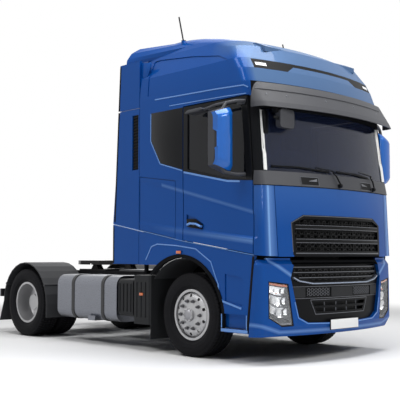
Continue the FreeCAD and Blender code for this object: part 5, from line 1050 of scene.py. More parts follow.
@dataclass
class Tyres:
    """All the tyres, with ribs, grooves and notched shoulders."""

    radius: float = 0.500
    half_width: float = 0.157
    pitches: int = 66
    steps: int = 4
    groove_depth: float = 0.013
    groove_half: float = 0.006
    groove_floor: float = 0.6
    notch: float = 0.009
    groove_places: tuple[float, ...] = (0.088, 0.033)
    shoulder_from: float = 0.470
    tread_from: float = 0.4995
    smooth: float = 40.0
    sets: tuple[tuple[str, str, bool], ...] = (("tyre_front_", "wheel_front_", False),
                                               ("tyres_rear_", "wheels_rear_", True))
    side_wall: Path = (
        (0.288, 0.1085), (0.3035, 0.1105), (0.312, 0.121), (0.3135, 0.126), (0.318, 0.126),
        (0.322, 0.131), (0.350, 0.1465), (0.352, 0.1490), (0.358, 0.1500), (0.392, 0.1555),
        (0.394, 0.1535), (0.402, 0.1535), (0.404, 0.1552), (0.432, 0.1535), (0.452, 0.1500),
        (0.456, 0.1462), (0.474, 0.1435), (0.484, 0.1415), (0.492, 0.1365), (0.4985, 0.1275))

    def profile(self) -> list[Point]:
        """Return the section from one bead over the tread to the other.

        Returns:
            Points of radius and distance from the tyre's middle.
        """
        half = list(self.side_wall)
        low, floor = self.radius - self.groove_depth, self.groove_half * self.groove_floor
        for place in self.groove_places:
            half += [(self.radius, place + self.groove_half), (low, place + floor),
                     (low, place - floor), (self.radius, place - self.groove_half)]
        return half + [(radius, -offset) for radius, offset in reversed(half)]

    def dent(self, section: list[Point], lugs: bool, step: int, number: int) -> float:
        """Return how deep the tread is cut at one point.

        Args:
            section: the tyre's profile.
            lugs: whether all the ribs are cut across, as on a driven wheel.
            step: the step round the tyre.
            number: the point's place in the profile.

        Returns:
            The depth of the cut.
        """
        radius, offset = section[number]
        phase = step % self.steps
        shoulder = abs(offset) > self.groove_places[0] and radius > self.shoulder_from
        middle = lugs and radius > self.tread_from and abs(offset) <= self.groove_places[0]
        if shoulder and phase == 0:
            return self.notch
        return self.notch if middle and phase == self.steps // 2 else 0.0

    def build(self) -> None:
        """Make the front tyres and the rear twins."""
        section = self.profile()
        for side in Side:
            for tyre, wheel, lugs in self.sets:
                node = tyre + side.word
                low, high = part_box(node)
                form = Form()
                middles = [(low.y + high.y) / 2]
                if high.y - low.y > 3 * self.half_width:
                    middles = [low.y + self.half_width, high.y - self.half_width]
                for y in middles:
                    form.ring(section, Vector(((low.x + high.x) / 2, y, self.radius)),
                              Vector((0.0, 1.0, 0.0)), self.pitches * self.steps,
                              partial(self.dent, section, lugs))
                made = form.piece("treaded_" + node, wheel + side.word, TYRE_RUBBER, self.smooth)
                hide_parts(node)


@dataclass
class WheelTrim:
    """The wheel nuts with their studs, and the front hubs' caps."""

    circle: float = 0.1675
    count: int = 10
    nut_radius: float = 0.0185
    nut_height: float = 0.026
    washer_share: float = 1.25
    washer_height: float = 0.006
    stud_radius: float = 0.0105
    stud_beyond: float = 0.020
    front_face: float = 1.169
    rear_face: float = 0.920
    cap_face: float = 1.219
    dome: Path = ((TINY, 0.014), (0.030, 0.013), (0.050, 0.008), (0.060, 0.0), (TINY, 0.0))
    bolts: int = 8
    bolt_circle: float = 0.068
    bolt_radius: float = 0.0062
    bolt_height: float = 0.007

    def build(self) -> None:
        """Make the trim of all four hubs."""
        for side in Side:
            self.nuts("front", side, Vector((FRONT_AXLE.x, side.value * self.front_face, FRONT_AXLE.z)))
            self.nuts("rear", side, Vector((REAR_AXLE.x, side.value * self.rear_face, REAR_AXLE.z)))
            self.cap(side)

    def body(self, end: str, side: Side) -> str:
        """Return the wheel body at one end of one side."""
        return f"wheel_front_{side.word}" if end == "front" else f"wheels_rear_{side.word}"

    def nuts(self, end: str, side: Side, middle: Vector) -> None:
        """Make one ring of wheel nuts with their studs.

        Args:
            end: "front" or "rear".
            side: the vehicle's side.
            middle: the ring's middle, on the rim's face.
        """
        form = Form()
        out = Vector((0.0, float(side.value), 0.0))
        for number in range(self.count):
            angle = 2 * math.pi * number / self.count
            spot = middle + Vector((math.cos(angle), 0.0, math.sin(angle))) * self.circle
            seat = spot + out * self.washer_height
            form.prism(self.polygon(spot, self.nut_radius * self.washer_share, 20), out * self.washer_height)
            form.prism(self.polygon(seat, self.nut_radius, 6, angle), out * self.nut_height, 0.0015)
            form.prism(self.polygon(spot, self.stud_radius, 12), out * (self.nut_height + self.stud_beyond),
                       0.001)
        form.piece(f"wheel_nuts_{end}_{side.word}", self.body(end, side), NUT_STEEL)

    @staticmethod
    def polygon(middle: Vector, radius: float, sides: int, turn: float = 0.0) -> list[Vector]:
        """Return a regular outline in the wheel's plane.

        Args:
            middle: the outline's middle.
            radius: how far its corners lie from the middle.
            sides: how many sides it has.
            turn: the first corner's angle.

        Returns:
            The corners in order.
        """
        angles = [turn + 2 * math.pi * number / sides for number in range(sides)]
        return [middle + Vector((math.cos(angle), 0.0, math.sin(angle))) * radius for angle in angles]

    def cap(self, side: Side) -> None:
        """Make the front hub's domed cap with its ring of bolts.

        Args:
            side: the vehicle's side.
        """
        form = Form()
        out = Vector((0.0, float(side.value), 0.0))
        middle = Vector((FRONT_AXLE.x, side.value * self.cap_face, FRONT_AXLE.z))
        form.ring(self.dome, middle, out, 40)
        for spot in self.polygon(middle, self.bolt_circle, self.bolts):
            form.prism(self.polygon(spot, self.bolt_radius, 6), out * self.bolt_height, 0.0008)
        form.piece(f"hub_cap_{side.word}", self.body("front", side), HUB_STEEL)


@dataclass
class BowedFront:
    """The bowed front of the cab: where its face lies at a width and a height."""

    levels: Path = ((1.184, 1.400), (1.988, 1.366), (2.146, 1.332), (3.170, 1.208))

    def x(self, y: float, z: float, inset: float = 0.0) -> float:
        """Return the face's x at y and z, moved in by an inset.

        Args:
            y: the width.
            z: the height.
            inset: how far behind the face.

        Returns:
            The x of that place.
        """
        reach = self.levels[-1][1]
        for (low, near), (high, far) in zip(self.levels, self.levels[1:]):
            if z <= high:
                share = max(0.0, (z - low) / (high - low))
                reach = near + (far - near) * share
                break
        return bowed(ahead(reach), y) - inset


@dataclass
class GrilleMesh:
    """The honeycomb behind the grilles' bars."""

    cell: float = 0.034
    wall: float = 0.0045
    thickness: float = 0.010
    lid_box: tuple[Point, Point] = ((-0.82, 1.22), (0.82, 1.65))
    lid_half: float = 0.80
    lid_heights: Point = (1.235, 1.625)
    lid_knee: float = 1.576
    lid_lean: float = 1.6
    lid_inset: float = 0.030
    bumper_box: tuple[Point, Point] = ((-0.78, 0.90), (0.78, 1.12))
    bumper_half: float = 0.765
    bumper_heights: Point = (0.915, 1.10)
    bumper_knee: float = 0.482
    bumper_lean: float = 0.21
    bumper_reach: float = 1.340

    def in_lid(self, y: float, z: float) -> bool:
        """Return whether a point lies in the lid's grille."""
        low, high = self.lid_heights
        return abs(y) < self.lid_half - max(0.0, z - self.lid_knee) * self.lid_lean and low < z < high

    def in_bumper(self, y: float, z: float) -> bool:
        """Return whether a point lies in the bumper's grille.

        Args:
            y: the point's width.
            z: the point's height.

        Returns:
            True inside the grille.
        """
        low, high = self.bumper_heights
        foot = max(low, low + (abs(y) - self.bumper_knee) * self.bumper_lean)
        return abs(y) < self.bumper_half and foot < z < high

    def strut(self, form: Form, start: Point, end: Point, face: Callable[[float, float], float]) -> None:
        """Add one wall of a cell between two (y, z) points.

        Args:
            form: the form that takes the wall.
            start: its first point.
            end: its last point.
            face: gives the x of the face at y and z.
        """
        along = Vector((0.0, end[0] - start[0], end[1] - start[1]))
        across = Vector((0.0, -along.z, along.y)).normalized() * self.wall / 2
        corners = [Vector((face(*spot), *spot)) + across * sign
                   for spot, sign in ((start, 1), (end, 1), (end, -1), (start, -1))]
        form.prism(corners, rearward(self.thickness))

    def fill(self, form: Form, inside: Callable[[float, float], bool], low: Point, high: Point,
             face: Callable[[float, float], float]) -> None:
        """Fill a zone with six-sided cells.

        Args:
            form: the form that takes the walls.
            inside: says whether a (y, z) point is in the zone.
            low: the zone's lowest y and z.
            high: the zone's highest y and z.
            face: gives the x of the face at y and z.
        """
        pitch_y = self.cell * 1.5
        pitch_z = self.cell * math.sqrt(3)
        turns = [math.radians(60 * number) for number in range(4)]
        corner = [(math.cos(turn) * self.cell, math.sin(turn) * self.cell) for turn in turns]
        column = 0
        y = low[0]
        while y <= high[0]:
            z = low[1] + (pitch_z / 2 if column % 2 else 0.0)
            while z <= high[1]:
                points = [(y + dy, z + dz) for dy, dz in corner]
                for start, end in zip(points, points[1:]):
                    if inside(*start) and inside(*end):
                        self.strut(form, start, end, face)
                z += pitch_z
            y += pitch_y
            column += 1

    def build(self) -> None:
        """Make the mesh in the lid's grille and in the bumper's grille."""
        front = BowedFront()
        upper = Form()
        self.fill(upper, self.in_lid, *self.lid_box, lambda y, z: front.x(y, z, self.lid_inset))
        upper.piece("honeycomb_upper", "front_lid", DARK_MESH)
        lower = Form()
        self.fill(lower, self.in_bumper, *self.bumper_box, lambda y, z: bowed(ahead(self.bumper_reach), y))
        lower.piece("honeycomb_lower", "chassis", DARK_MESH)


@dataclass
class GrilleTrim:
    """The pale lines round the grille's rows."""

    line: float = 0.007
    proud: float = 0.002
    depth: float = 0.006
    frame_line: Path = ((-0.826, 1.245), (-0.836, 1.572), (-0.662, 1.655), (0.662, 1.655))
    bars: tuple[float, ...] = (1.548, 1.507, 1.391, 1.351)
    bar_half: float = 0.78
    bar_share: float = 0.8
    foot: Path = ((-0.79, 1.232), (0.79, 1.232))
    foot_share: float = 1.6

    def build(self) -> None:
        """Make the frame's chamfer line, the bars' edges and the line along the foot."""
        skin = Skin("upper_grille")
        back = rearward(self.depth)
        trim = Form()
        trim.ribbon(front_path(skin, self.frame_line, self.proud), self.line, back)
        for z in self.bars:
            path = front_path(skin, ((-self.bar_half, z), (self.bar_half, z)), self.proud)
            trim.ribbon(path, self.line * self.bar_share, back)
        trim.ribbon(front_path(skin, self.foot, self.proud), self.line * self.foot_share, back)
        trim.piece("grille_trim", "front_lid", DARK_SILVER)


@dataclass
class BumperMiddle:
    """The dark middle of the bumper: its bright bow, its plain and pierced panels and the vent's lines."""

    skin: Skin = field(default_factory=lambda: Skin("lower_grille"))
    proud: float = 0.004
    depth: float = 0.014
    line: float = 0.006
    spare: float = 1.3
    bow_line: Path = ((-0.800, 0.962), (-0.715, 0.921), (-0.515, 0.890), (0.515, 0.890), (0.715, 0.921),
                      (0.800, 0.962))
    bow_proud: float = 0.030
    bow_width: float = 0.014
    bow_depth: float = 0.034
    bars: Path = ((1.076, 0.775), (1.0165, 0.775), (0.957, 0.70))
    bar_width: float = 0.008
    boards: tuple[tuple[float, ...], ...] = ((0.535, 0.71, 0.53, 0.050), (0.875, 1.125, 0.80, 0.046))
    board_reach: float = 1.348
    board: float = 0.004
    columns: int = 17
    lid_heights: Point = (1.225, 1.64)
    lid_half: float = 0.80
    lid_inset: float = 0.056
    plain_spans: Path = ((-0.79, -0.62), (-0.20, 0.20), (0.62, 0.79))
    plain_heights: tuple[float, ...] = (0.735, 0.79, 0.845)
    plain_proud: float = 0.006
    panel_line: Path = ((-0.80, 0.725), (-0.80, 0.856), (0.80, 0.856), (0.80, 0.725), (-0.80, 0.725))
    pierced_box: tuple[Point, Point] = ((-0.62, 0.72), (0.62, 0.86))
    pierced_span: Point = (0.22, 0.60)
    pierced_heights: Point = (0.738, 0.845)
    vent_line: Path = ((-0.535, 0.705), (-0.458, 0.541), (0.458, 0.541), (0.535, 0.705), (-0.535, 0.705))
    vent_width: float = 0.007
    vent_foot: float = 0.5425
    uprights: tuple[float, ...] = (-0.30, -0.10, 0.10, 0.30)
    lip_line: Path = ((0.275, 0.436), (0.615, 0.447), (0.752, 0.512), (0.800, 0.69))
    lip_width: float = 0.012
    top_span: Point = (0.815, 1.13)
    top_heights: Point = (1.152, 1.178)
    top_at: float = 1.150

    def build(self) -> None:
        """Make the middle's pieces."""
        self.bow()
        self.backing()
        self.panels()
        self.vent()
        self.edge()

    def bow(self) -> None:
        """Make the bright bow under the main opening and the lines on its bars."""
        bow = Form()
        bow.ribbon(front_path(self.skin, self.bow_line, self.bow_proud), self.bow_width,
                   rearward(self.bow_depth))
        bow.piece("bumper_bow", "chassis", BOW_SILVER)
        bars = Form()
        for z, half in self.bars:
            bars.ribbon(front_path(self.skin, ((-half, z), (half, z)), self.proud), self.bar_width,
                        rearward(self.bar_width))
        bars.piece("bumper_grille_lines", "chassis", DARK_SILVER)

    def backing(self) -> None:
        """Make the dark boards behind the two air openings and behind the lid's grille."""
        front = BowedFront()
        boards = Form()
        back = rearward(self.board)
        for low, high, half, base in self.boards:
            rows = [[Vector((bowed(ahead(self.board_reach), y) - base, y, z))
                     for y in spread(-half, half, self.columns)] for z in (low, high)]
            boards.slab(rows, back)
        boards.piece("bumper_backing", "chassis", SATIN_BLACK)
        lid_board = Form()
        rows = [[Vector((front.x(y, z, self.lid_inset), y, z))
                 for y in spread(-self.lid_half, self.lid_half, self.columns)] for z in self.lid_heights]
        lid_board.slab(rows, back).piece("grille_backing", "front_lid", SATIN_BLACK)

    def in_pierced(self, y: float, z: float) -> bool:
        """Return whether a point lies in a pierced panel."""
        (inner, outer), (low, high) = self.pierced_span, self.pierced_heights
        return inner < abs(y) < outer and low < z < high

    def panels(self) -> None:
        """Make the row of plain and pierced panels."""
        plain = Form()
        for low, high in self.plain_spans:
            rows = [front_path(self.skin, ((low, z), (high, z)), self.proud + self.plain_proud)
                    for z in self.plain_heights]
            plain.slab(rows, rearward(self.depth))
        plain.piece("bumper_plain_panels", "chassis", GREY_PLASTIC)
        frame_line = Form()
        frame_line.ribbon(front_path(self.skin, self.panel_line, self.proud), self.line, rearward(self.line))
        frame_line.piece("bumper_panel_line", "chassis", DARK_SILVER)
        pierced = Form()
        mesh = GrilleMesh(cell=0.019, wall=0.005, thickness=0.006)
        mesh.fill(pierced, self.in_pierced, *self.pierced_box,
                  lambda y, z: self.skin.front(y, z, ahead(self.spare)) + self.proud)
        pierced.piece("bumper_pierced_panels", "chassis", DARK_SILVER)

    def vent(self) -> None:
        """Make the vent's pale frame and its uprights."""
        frame_form = Form()
        frame_form.ribbon(front_path(self.skin, self.vent_line, self.proud), self.vent_width,
                          rearward(self.line))
        face = self.skin.front(0.0, self.vent_foot, ahead(self.spare))
        for y in self.uprights:
            x = bowed(face, y)
            frame_form.box((x - 0.02, y - 0.004, 0.545), (x - 0.008, y + 0.004, 0.70), 0.001)
        frame_form.piece("bumper_vent_frame", "chassis", DARK_SILVER)

    def edge(self) -> None:
        """Make the lip round the middle's lower edge, in paint lightened as a painted highlight, and the
        bumper's upper edge.
        """
        skin = Skin("bumper")
        lip = Form()
        for sign in (-1, 1):
            points = [(sign * y, z) for y, z in self.lip_line]
            lip.ribbon(front_path(skin, points, self.proud), self.lip_width, rearward(0.010))
        lip.piece("bumper_lip", "chassis", EDGE_HIGHLIGHT_PAINT)
        top = Form()
        rows = [[Vector((skin.front(y, self.top_at, 0.0) - 0.004, y, z)) for y in spread(*self.top_span, 9)]
                for z in self.top_heights]
        top.slab(rows, rearward(0.030))
        top.mirrored().piece("bumper_top_lip", "chassis", BLUE_CORNER)


@dataclass
class Headlamps:
    """Both headlamps: housing, reflectors, projectors, amber strip, rim and clear lens."""

    inner_low: Point = (0.818, 0.432)
    inner_top: Point = (0.889, 0.886)
    outer_low: Point = (1.134, 0.526)
    bottom_knee: Point = (0.976, 0.431)
    outer_top: Point = (1.134, 0.917)
    skin: Skin = field(default_factory=lambda: Skin("headlamps"))
    rows: int = 12
    columns: int = 14
    spare: float = 1.10
    shell: float = 0.004
    depth: float = 0.085
    wall: float = 0.006
    wall_aim: Point = (1.03, 0.68)
    rim_aim: Point = (1.03, 0.67)
    rim_share: float = 0.97
    reflectors: tuple[Place, ...] = ((0.72, 0.91, 0.050), (0.46, 0.68, 0.055), (0.20, 0.43, 0.050))
    projectors: tuple[Place, ...] = ((0.62, 0.565, 0.040), (0.40, 0.31, 0.036), (0.72, 0.315, 0.034))
    outline: Path = ((0.0, 0.0), (0.25, 0.0), (0.5, 0.0), (0.75, 0.0), (1.0, 0.0), (1.0, 0.5), (1.0, 1.0),
                     (0.5, 1.0), (0.0, 1.0), (0.0, 0.5), (0.0, 0.0))
    corners: Path = ((0.0, 0.0), (0.5, 0.0), (1.0, 0.0), (1.0, 1.0), (0.5, 1.0), (0.0, 1.0))

    def edge(self, share: float) -> Point:
        """Return a point along the bottom edge, which bends at its middle."""
        if share < 0.5:
            return part_way(self.inner_low, self.bottom_knee, share / 0.5)
        return part_way(self.bottom_knee, self.outer_low, (share - 0.5) / 0.5)

    def spot(self, across: float, up: float) -> Point:
        """Return a (y, z) point of the lamp's face by shares across and up."""
        return part_way(self.edge(across), part_way(self.inner_top, self.outer_top, across), up)

    def on_face(self, across: float, up: float, inset: float = 0.0) -> Vector:
        """Return a point of the lamp's face by shares across and up."""
        y, z = self.spot(across, up)
        return Vector((self.skin.front(y, z, ahead(self.spare)) - inset, y, z))

    def grid(self, inset: float, ends: tuple[float, ...] = (0.0, 1.0, 0.0, 1.0)) -> list[list[Vector]]:
        """Return a grid of points on the lamp's face, moved in by an inset."""
        return [[self.on_face(across, up, inset) for across in spread(*ends[:2], self.columns)]
                for up in spread(*ends[2:], self.rows)]

    def build(self) -> None:
        """Make both lamps."""
        lens = Form().slab(self.grid(0.0), rearward(self.shell)).mirrored()
        made = lens.piece("headlamp_lens", "chassis", CLEAR_LENS)
        housing = Form().slab(self.grid(self.depth), rearward(0.008))
        self.walls(housing)
        shell = housing.mirrored().piece("headlamp_housing", "chassis", GLOSS_BLACK)
        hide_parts("headlamps")
        strip = Form().slab(self.grid(0.006, (0.02, 0.98, 0.935, 0.985)), rearward(0.03)).mirrored()
        strip.piece("headlamp_amber_strip", "chassis", AMBER_LENS)
        bright = Form()
        for low, high, inset in self.reflectors:
            self.bowl(bright, low, high, inset)
        bright.mirrored().piece("headlamp_reflectors", "chassis", CHROME)
        base = Form().slab(self.grid(0.010, (0.03, 0.97, 0.02, 0.06)), rearward(0.02)).mirrored()
        base.piece("headlamp_base_line", "chassis", DARK_SILVER)
        self.bulbs()
        self.rim()

    def rim(self) -> None:
        """Make the black rim round the lens."""
        path = []
        for across, up in self.outline:
            y, z = self.spot(across, up)
            near_y, near_z = part_way(self.rim_aim, (y, z), self.rim_share)
            path.append(Vector((self.skin.front(near_y, near_z, ahead(self.spare)) + 0.004, y, z)))
        rim = Form().ribbon(path, 0.016, rearward(0.012))
        rim.mirrored().piece("headlamp_rim", "chassis", GLOSS_BLACK)

    def walls(self, form: Form) -> None:
        """Add the housing's side walls.

        Args:
            form: the housing.
        """
        step = rearward(self.shell)
        for start, end in zip(self.corners, self.corners[1:] + self.corners[:1]):
            first, second = (self.on_face(across, up) for across, up in (start, end))
            inner = [point + (Vector((point.x, *self.wall_aim)) - point).normalized() * self.wall
                     for point in (first, second)]
            form.prism([first + step, second + step, inner[1] + step, inner[0] + step], rearward(self.depth))

    def bowl(self, form: Form, low: float, high: float, inset: float) -> None:
        """Add one curved reflector between two heights.

        Args:
            form: the form that takes it.
            low: its lowest share up the lamp.
            high: its highest share up the lamp.
            inset: how far behind the face it lies.
        """
        rows = []
        for up in spread(low, high, 9):
            lift = (up - low) / (high - low) * 2 - 1
            row = []
            for across in spread(0.05, 0.95, 17):
                swing = across * 2 - 1
                dish = 0.034 * (abs(lift) ** 2.2) + 0.012 * abs(math.sin(swing * math.pi * 1.5))
                row.append(self.on_face(across, up, inset + 0.02 - dish))
            rows.append(row)
        form.slab(rows, rearward(self.shell))

    def bulbs(self) -> None:
        """Make the round projector lenses in front of the reflectors."""
        form = Form()
        for across, up, radius in self.projectors:
            dome = [(TINY, 0.016), (radius * 0.5, 0.013), (radius * 0.85, 0.006), (radius, 0.0),
                    (radius * 1.08, 0.002), (radius * 1.1, -0.012), (TINY, -0.012)]
            form.ring(dome, self.on_face(across, up, 0.050), Vector((1.0, 0.0, 0.0)), 36)
        form.mirrored().piece("headlamp_projectors", "chassis", WHITE_LENS)


@dataclass
class NumberPlate:
    """The blank number plate on the bumper."""

    half_width: float = 0.26
    half_height: float = 0.055
    height: float = 0.418
    thickness: float = 0.004
    border: float = 0.006
    carrier: float = 0.012
    spare: float = 1.38

    def build(self) -> None:
        """Make the plate and its dark carrier."""
        skin = Skin("bumper")
        x = max(skin.front(y, self.height, ahead(self.spare)) for y in (0.0, self.half_width)) + self.border
        low, high = self.height - self.half_height, self.height + self.half_height
        half = self.half_width + self.border
        carrier = Form().box((x - self.carrier, -half, low - self.border), (x, half, high + self.border),
                             0.003)
        carrier.piece("plate_carrier", "chassis", SATIN_BLACK)
        plate = Form().box((x, -self.half_width, low), (x + self.thickness, self.half_width, high), 0.0015)
        plate.piece("number_plate", "chassis", PLATE_WHITE)


@dataclass(frozen=True)
class Strip:
    """A raised line on a side: its (x, z) points, its width, how far out it stands and its depth."""

    points: Path
    width: float
    proud: float = 0.0
    depth: float = 0.006


@dataclass(frozen=True)
class Strips:
    """The raised lines that make up one piece on each side; a body's name that ends in _ takes the side's."""

    name: str
    body: str
    finish: Finish
    rows: tuple[Strip, ...]

    def build(self, side: Side, reach: float) -> None:
        """Make the piece of one side.

        Args:
            side: the vehicle's side.
            reach: the distance of the side's face from the middle.
        """
        form = Form()
        for row in self.rows:
            path = side_path(side, row.points, reach + row.proud)
            form.ribbon(path, row.width, towards_middle(side, row.depth))
        form.piece(self.name + side.word, self.body + side.word * self.body.endswith("_"), self.finish)


@dataclass
class DarkGlassline:
    """The black panels that join the side windows, pillars and windscreen into one band."""

    reach: float = 1.2525
    panel: float = 0.004
    window: Path = ((0.030, 2.236), (0.700, 2.085), (1.002, 2.056), (0.922, 2.932), (0.030, 2.932))
    around: Path = ((-0.044, 2.218), (0.700, 2.066), (1.091, 2.034), (1.004, 2.993), (-0.044, 2.993))
    quarter: Path = ((-0.648, 2.993), (-0.648, 2.640), (-0.468, 2.348), (-0.058, 2.236), (-0.058, 2.993))
    # the window and belt edges are painted lighter as highlights
    edges: tuple[Strips, ...] = (
        Strips("window_edge_", "cab", EDGE_HIGHLIGHT_PAINT, (Strip(
            ((-0.655, 2.985), (-0.655, 2.638), (-0.474, 2.340), (-0.062, 2.226)), 0.0132, 0.001, 0.004),)),
        Strips("belt_edge_", "door_", EDGE_HIGHLIGHT_PAINT, (
            Strip(((-0.038, 2.205), (0.700, 2.052), (0.90, 2.036)), 0.022, 0.001, 0.004),)))
    pillar: Path = ((1.128, 2.155), (1.118, 2.40), (1.108, 2.65), (1.100, 2.84))
    pillar_width: float = 0.050
    pillar_depth: float = 0.008

    def build(self) -> None:
        """Make the door frames' panels, the covers of the rear side windows and the edges painted lighter as
        highlights.
        """
        for side in Side:
            depth = towards_middle(side, self.panel)
            around, window = (side_path(side, path, self.reach) for path in (self.around, self.window))
            surround = Form().frame(around, window, depth)
            surround.piece("window_surround_" + side.word, "door_" + side.word, GLOSS_BLACK)
            cover = Form().prism(side_path(side, self.quarter, self.reach), depth, 0.0008)
            cover.piece("rear_window_panel_" + side.word, "cab", GLOSS_BLACK)
            for strips in self.edges:
                strips.build(side, self.reach)
        self.pillar_strips()

    def pillar_strips(self) -> None:
        """Make the near-white strips beside the windscreen, a painted highlight on the glass's curved edge.
        """
        path = front_path(Skin("cab_shell", "cab_glass"), self.pillar, self.pillar_depth)
        strip = Form().ribbon(path, self.pillar_width, rearward(self.pillar_depth))
        strip.mirrored().piece("pillar_strips", "cab", PILLAR_HIGHLIGHT)


@dataclass(frozen=True)
class Wiper:
    """One wiper: its pivot, the knee of its arm and its blade, as (y, z) points."""

    pivot: Point
    knee: Point
    blade: Path


@dataclass
class FrontDetails:
    """The visor's step and rivets, the cowl's grab recesses, the wipers and the close-view mirror."""

    visor_rows: Path = ((3.145, 0.008), (3.105, 0.010), (3.060, 0.010), (3.052, 0.002))
    visor_half: float = 1.235
    rivet: float = 0.011
    rivets: tuple[float, ...] = (0.27, 0.87, 1.13)
    rivet_height: float = 2.998
    pocket_span: Point = (0.41, 0.67)
    pocket_heights: tuple[float, ...] = (2.008, 2.05, 2.095)
    wedge_span: Point = (0.43, 0.56)
    wedge_rows: Path = ((2.050, 0.0), (2.082, 0.028))
    pocket_rim: Path = ((0.405, 2.004), (0.675, 2.004), (0.675, 2.099), (0.405, 2.099), (0.405, 2.004))
    wiper_set: tuple[Wiper, ...] = (
        Wiper((-0.050, 2.020), (-0.145, 2.190), ((-1.05, 2.200), (-0.66, 2.204), (-0.20, 2.176))),
        Wiper((0.700, 2.020), (0.690, 2.190), ((-0.065, 2.190), (0.30, 2.186), (0.640, 2.160))))
    wiper_tip: Point = (0.30, 2.214)
    wiper_cap: Path = ((TINY, 0.046), (0.018, 0.044), (0.024, 0.030), (0.026, 0.0), (TINY, 0.0))
    mirror_reach: float = 1.262
    mirror_plate: Path = ((-1.08, 2.730), (-0.99, 2.715), (-0.93, 2.708), (-0.79, 2.795), (-0.80, 2.812),
                          (-0.87, 2.800), (-0.93, 2.750), (-1.08, 2.755))

    def build(self) -> None:
        """Make all the front's small pieces above the grille."""
        self.visor()
        self.cowl()
        self.wipers()
        self.front_mirror()

    def visor(self) -> None:
        """Make the visor's stepped upper lip and its rivets."""
        skin = Skin("sun_visor")
        rows = [front_path(skin, ((-self.visor_half, z), (self.visor_half, z)), proud)
                for z, proud in self.visor_rows]
        Form().slab(rows, rearward(0.006)).piece("visor_step", "cab", DARK_PLASTIC)
        rivets = Form()
        dome = [(TINY, 0.006), (self.rivet * 0.6, 0.005), (self.rivet, 0.0), (self.rivet, -0.003),
                (TINY, -0.003)]
        for y in self.rivets:
            x = skin.front(y, self.rivet_height, ahead(1.3))
            rivets.ring(dome, Vector((x, y, self.rivet_height)), Vector((1.0, 0.0, 0.15)), 16)
        rivets.mirrored().piece("visor_rivets", "cab", DARK_SILVER)

    def cowl(self) -> None:
        """Make the cowl's grab recesses: a black pocket with a pale wedge and a rim."""
        skin = Skin("cowl_panel")
        low, high = self.pocket_span
        rows = [front_path(skin, ((low, z), (high, z)), 0.002) for z in self.pocket_heights]
        pocket = Form().slab(rows, rearward(0.004))
        low, high = self.wedge_span
        rows = [front_path(skin, ((low, z), (high, z - fall)), 0.006) for z, fall in self.wedge_rows]
        wedge = Form().slab(rows, rearward(0.006))
        wedge.ribbon(front_path(skin, self.pocket_rim, 0.003), 0.006, rearward(0.006))
        pocket.mirrored().piece("cowl_pockets", "cab", SATIN_BLACK)
        wedge.mirrored().piece("cowl_pocket_rims", "cab", DARK_SILVER)

    def wipers(self) -> None:
        """Make both wipers: pivots on the cowl, bent arms and long blades on the glass."""
        skin = Skin("cab_glass", "cowl_panel")
        form = Form()
        for wiper in self.wiper_set:
            arm = front_path(skin, (wiper.pivot, wiper.knee), 0.034, 0.03)
            form.tube([arm[0] + rearward(0.03)] + arm, 0.010, 10)
            tip = (wiper.knee[0] - self.wiper_tip[0], self.wiper_tip[1])
            form.tube(front_path(skin, (wiper.knee, tip), 0.036, 0.05), 0.008, 10)
            form.ribbon(front_path(skin, wiper.blade, 0.028, 0.05), 0.018, rearward(0.022))
            form.ring(self.wiper_cap, arm[0] + rearward(0.036), Vector((1.0, 0.0, 0.1)), 20)
        made = form.piece("wiper_arms", "cab", SATIN_BLACK)
        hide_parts("wipers")

    def front_mirror(self) -> None:
        """Make the close-view mirror's bracket and its flat plate in front of the visor's corner."""
        x = ahead(self.mirror_reach)
        form = Form()
        form.box((x - 0.09, -1.02, 2.800), (x - 0.01, -0.88, 2.905), 0.012)
        form.box((x - 0.10, -1.05, 2.885), (x + 0.005, -0.86, 2.915), 0.008)
        form.prism([Vector((x - 0.02, y, z)) for y, z in self.mirror_plate], Vector((0.018, 0.0, 0.0)), 0.003)
        form.box((x - 0.17, -1.10, 2.565), (x - 0.13, -1.02, 2.84), 0.014)
        form.piece("front_mirror_arm", "cab", SATIN_BLACK)


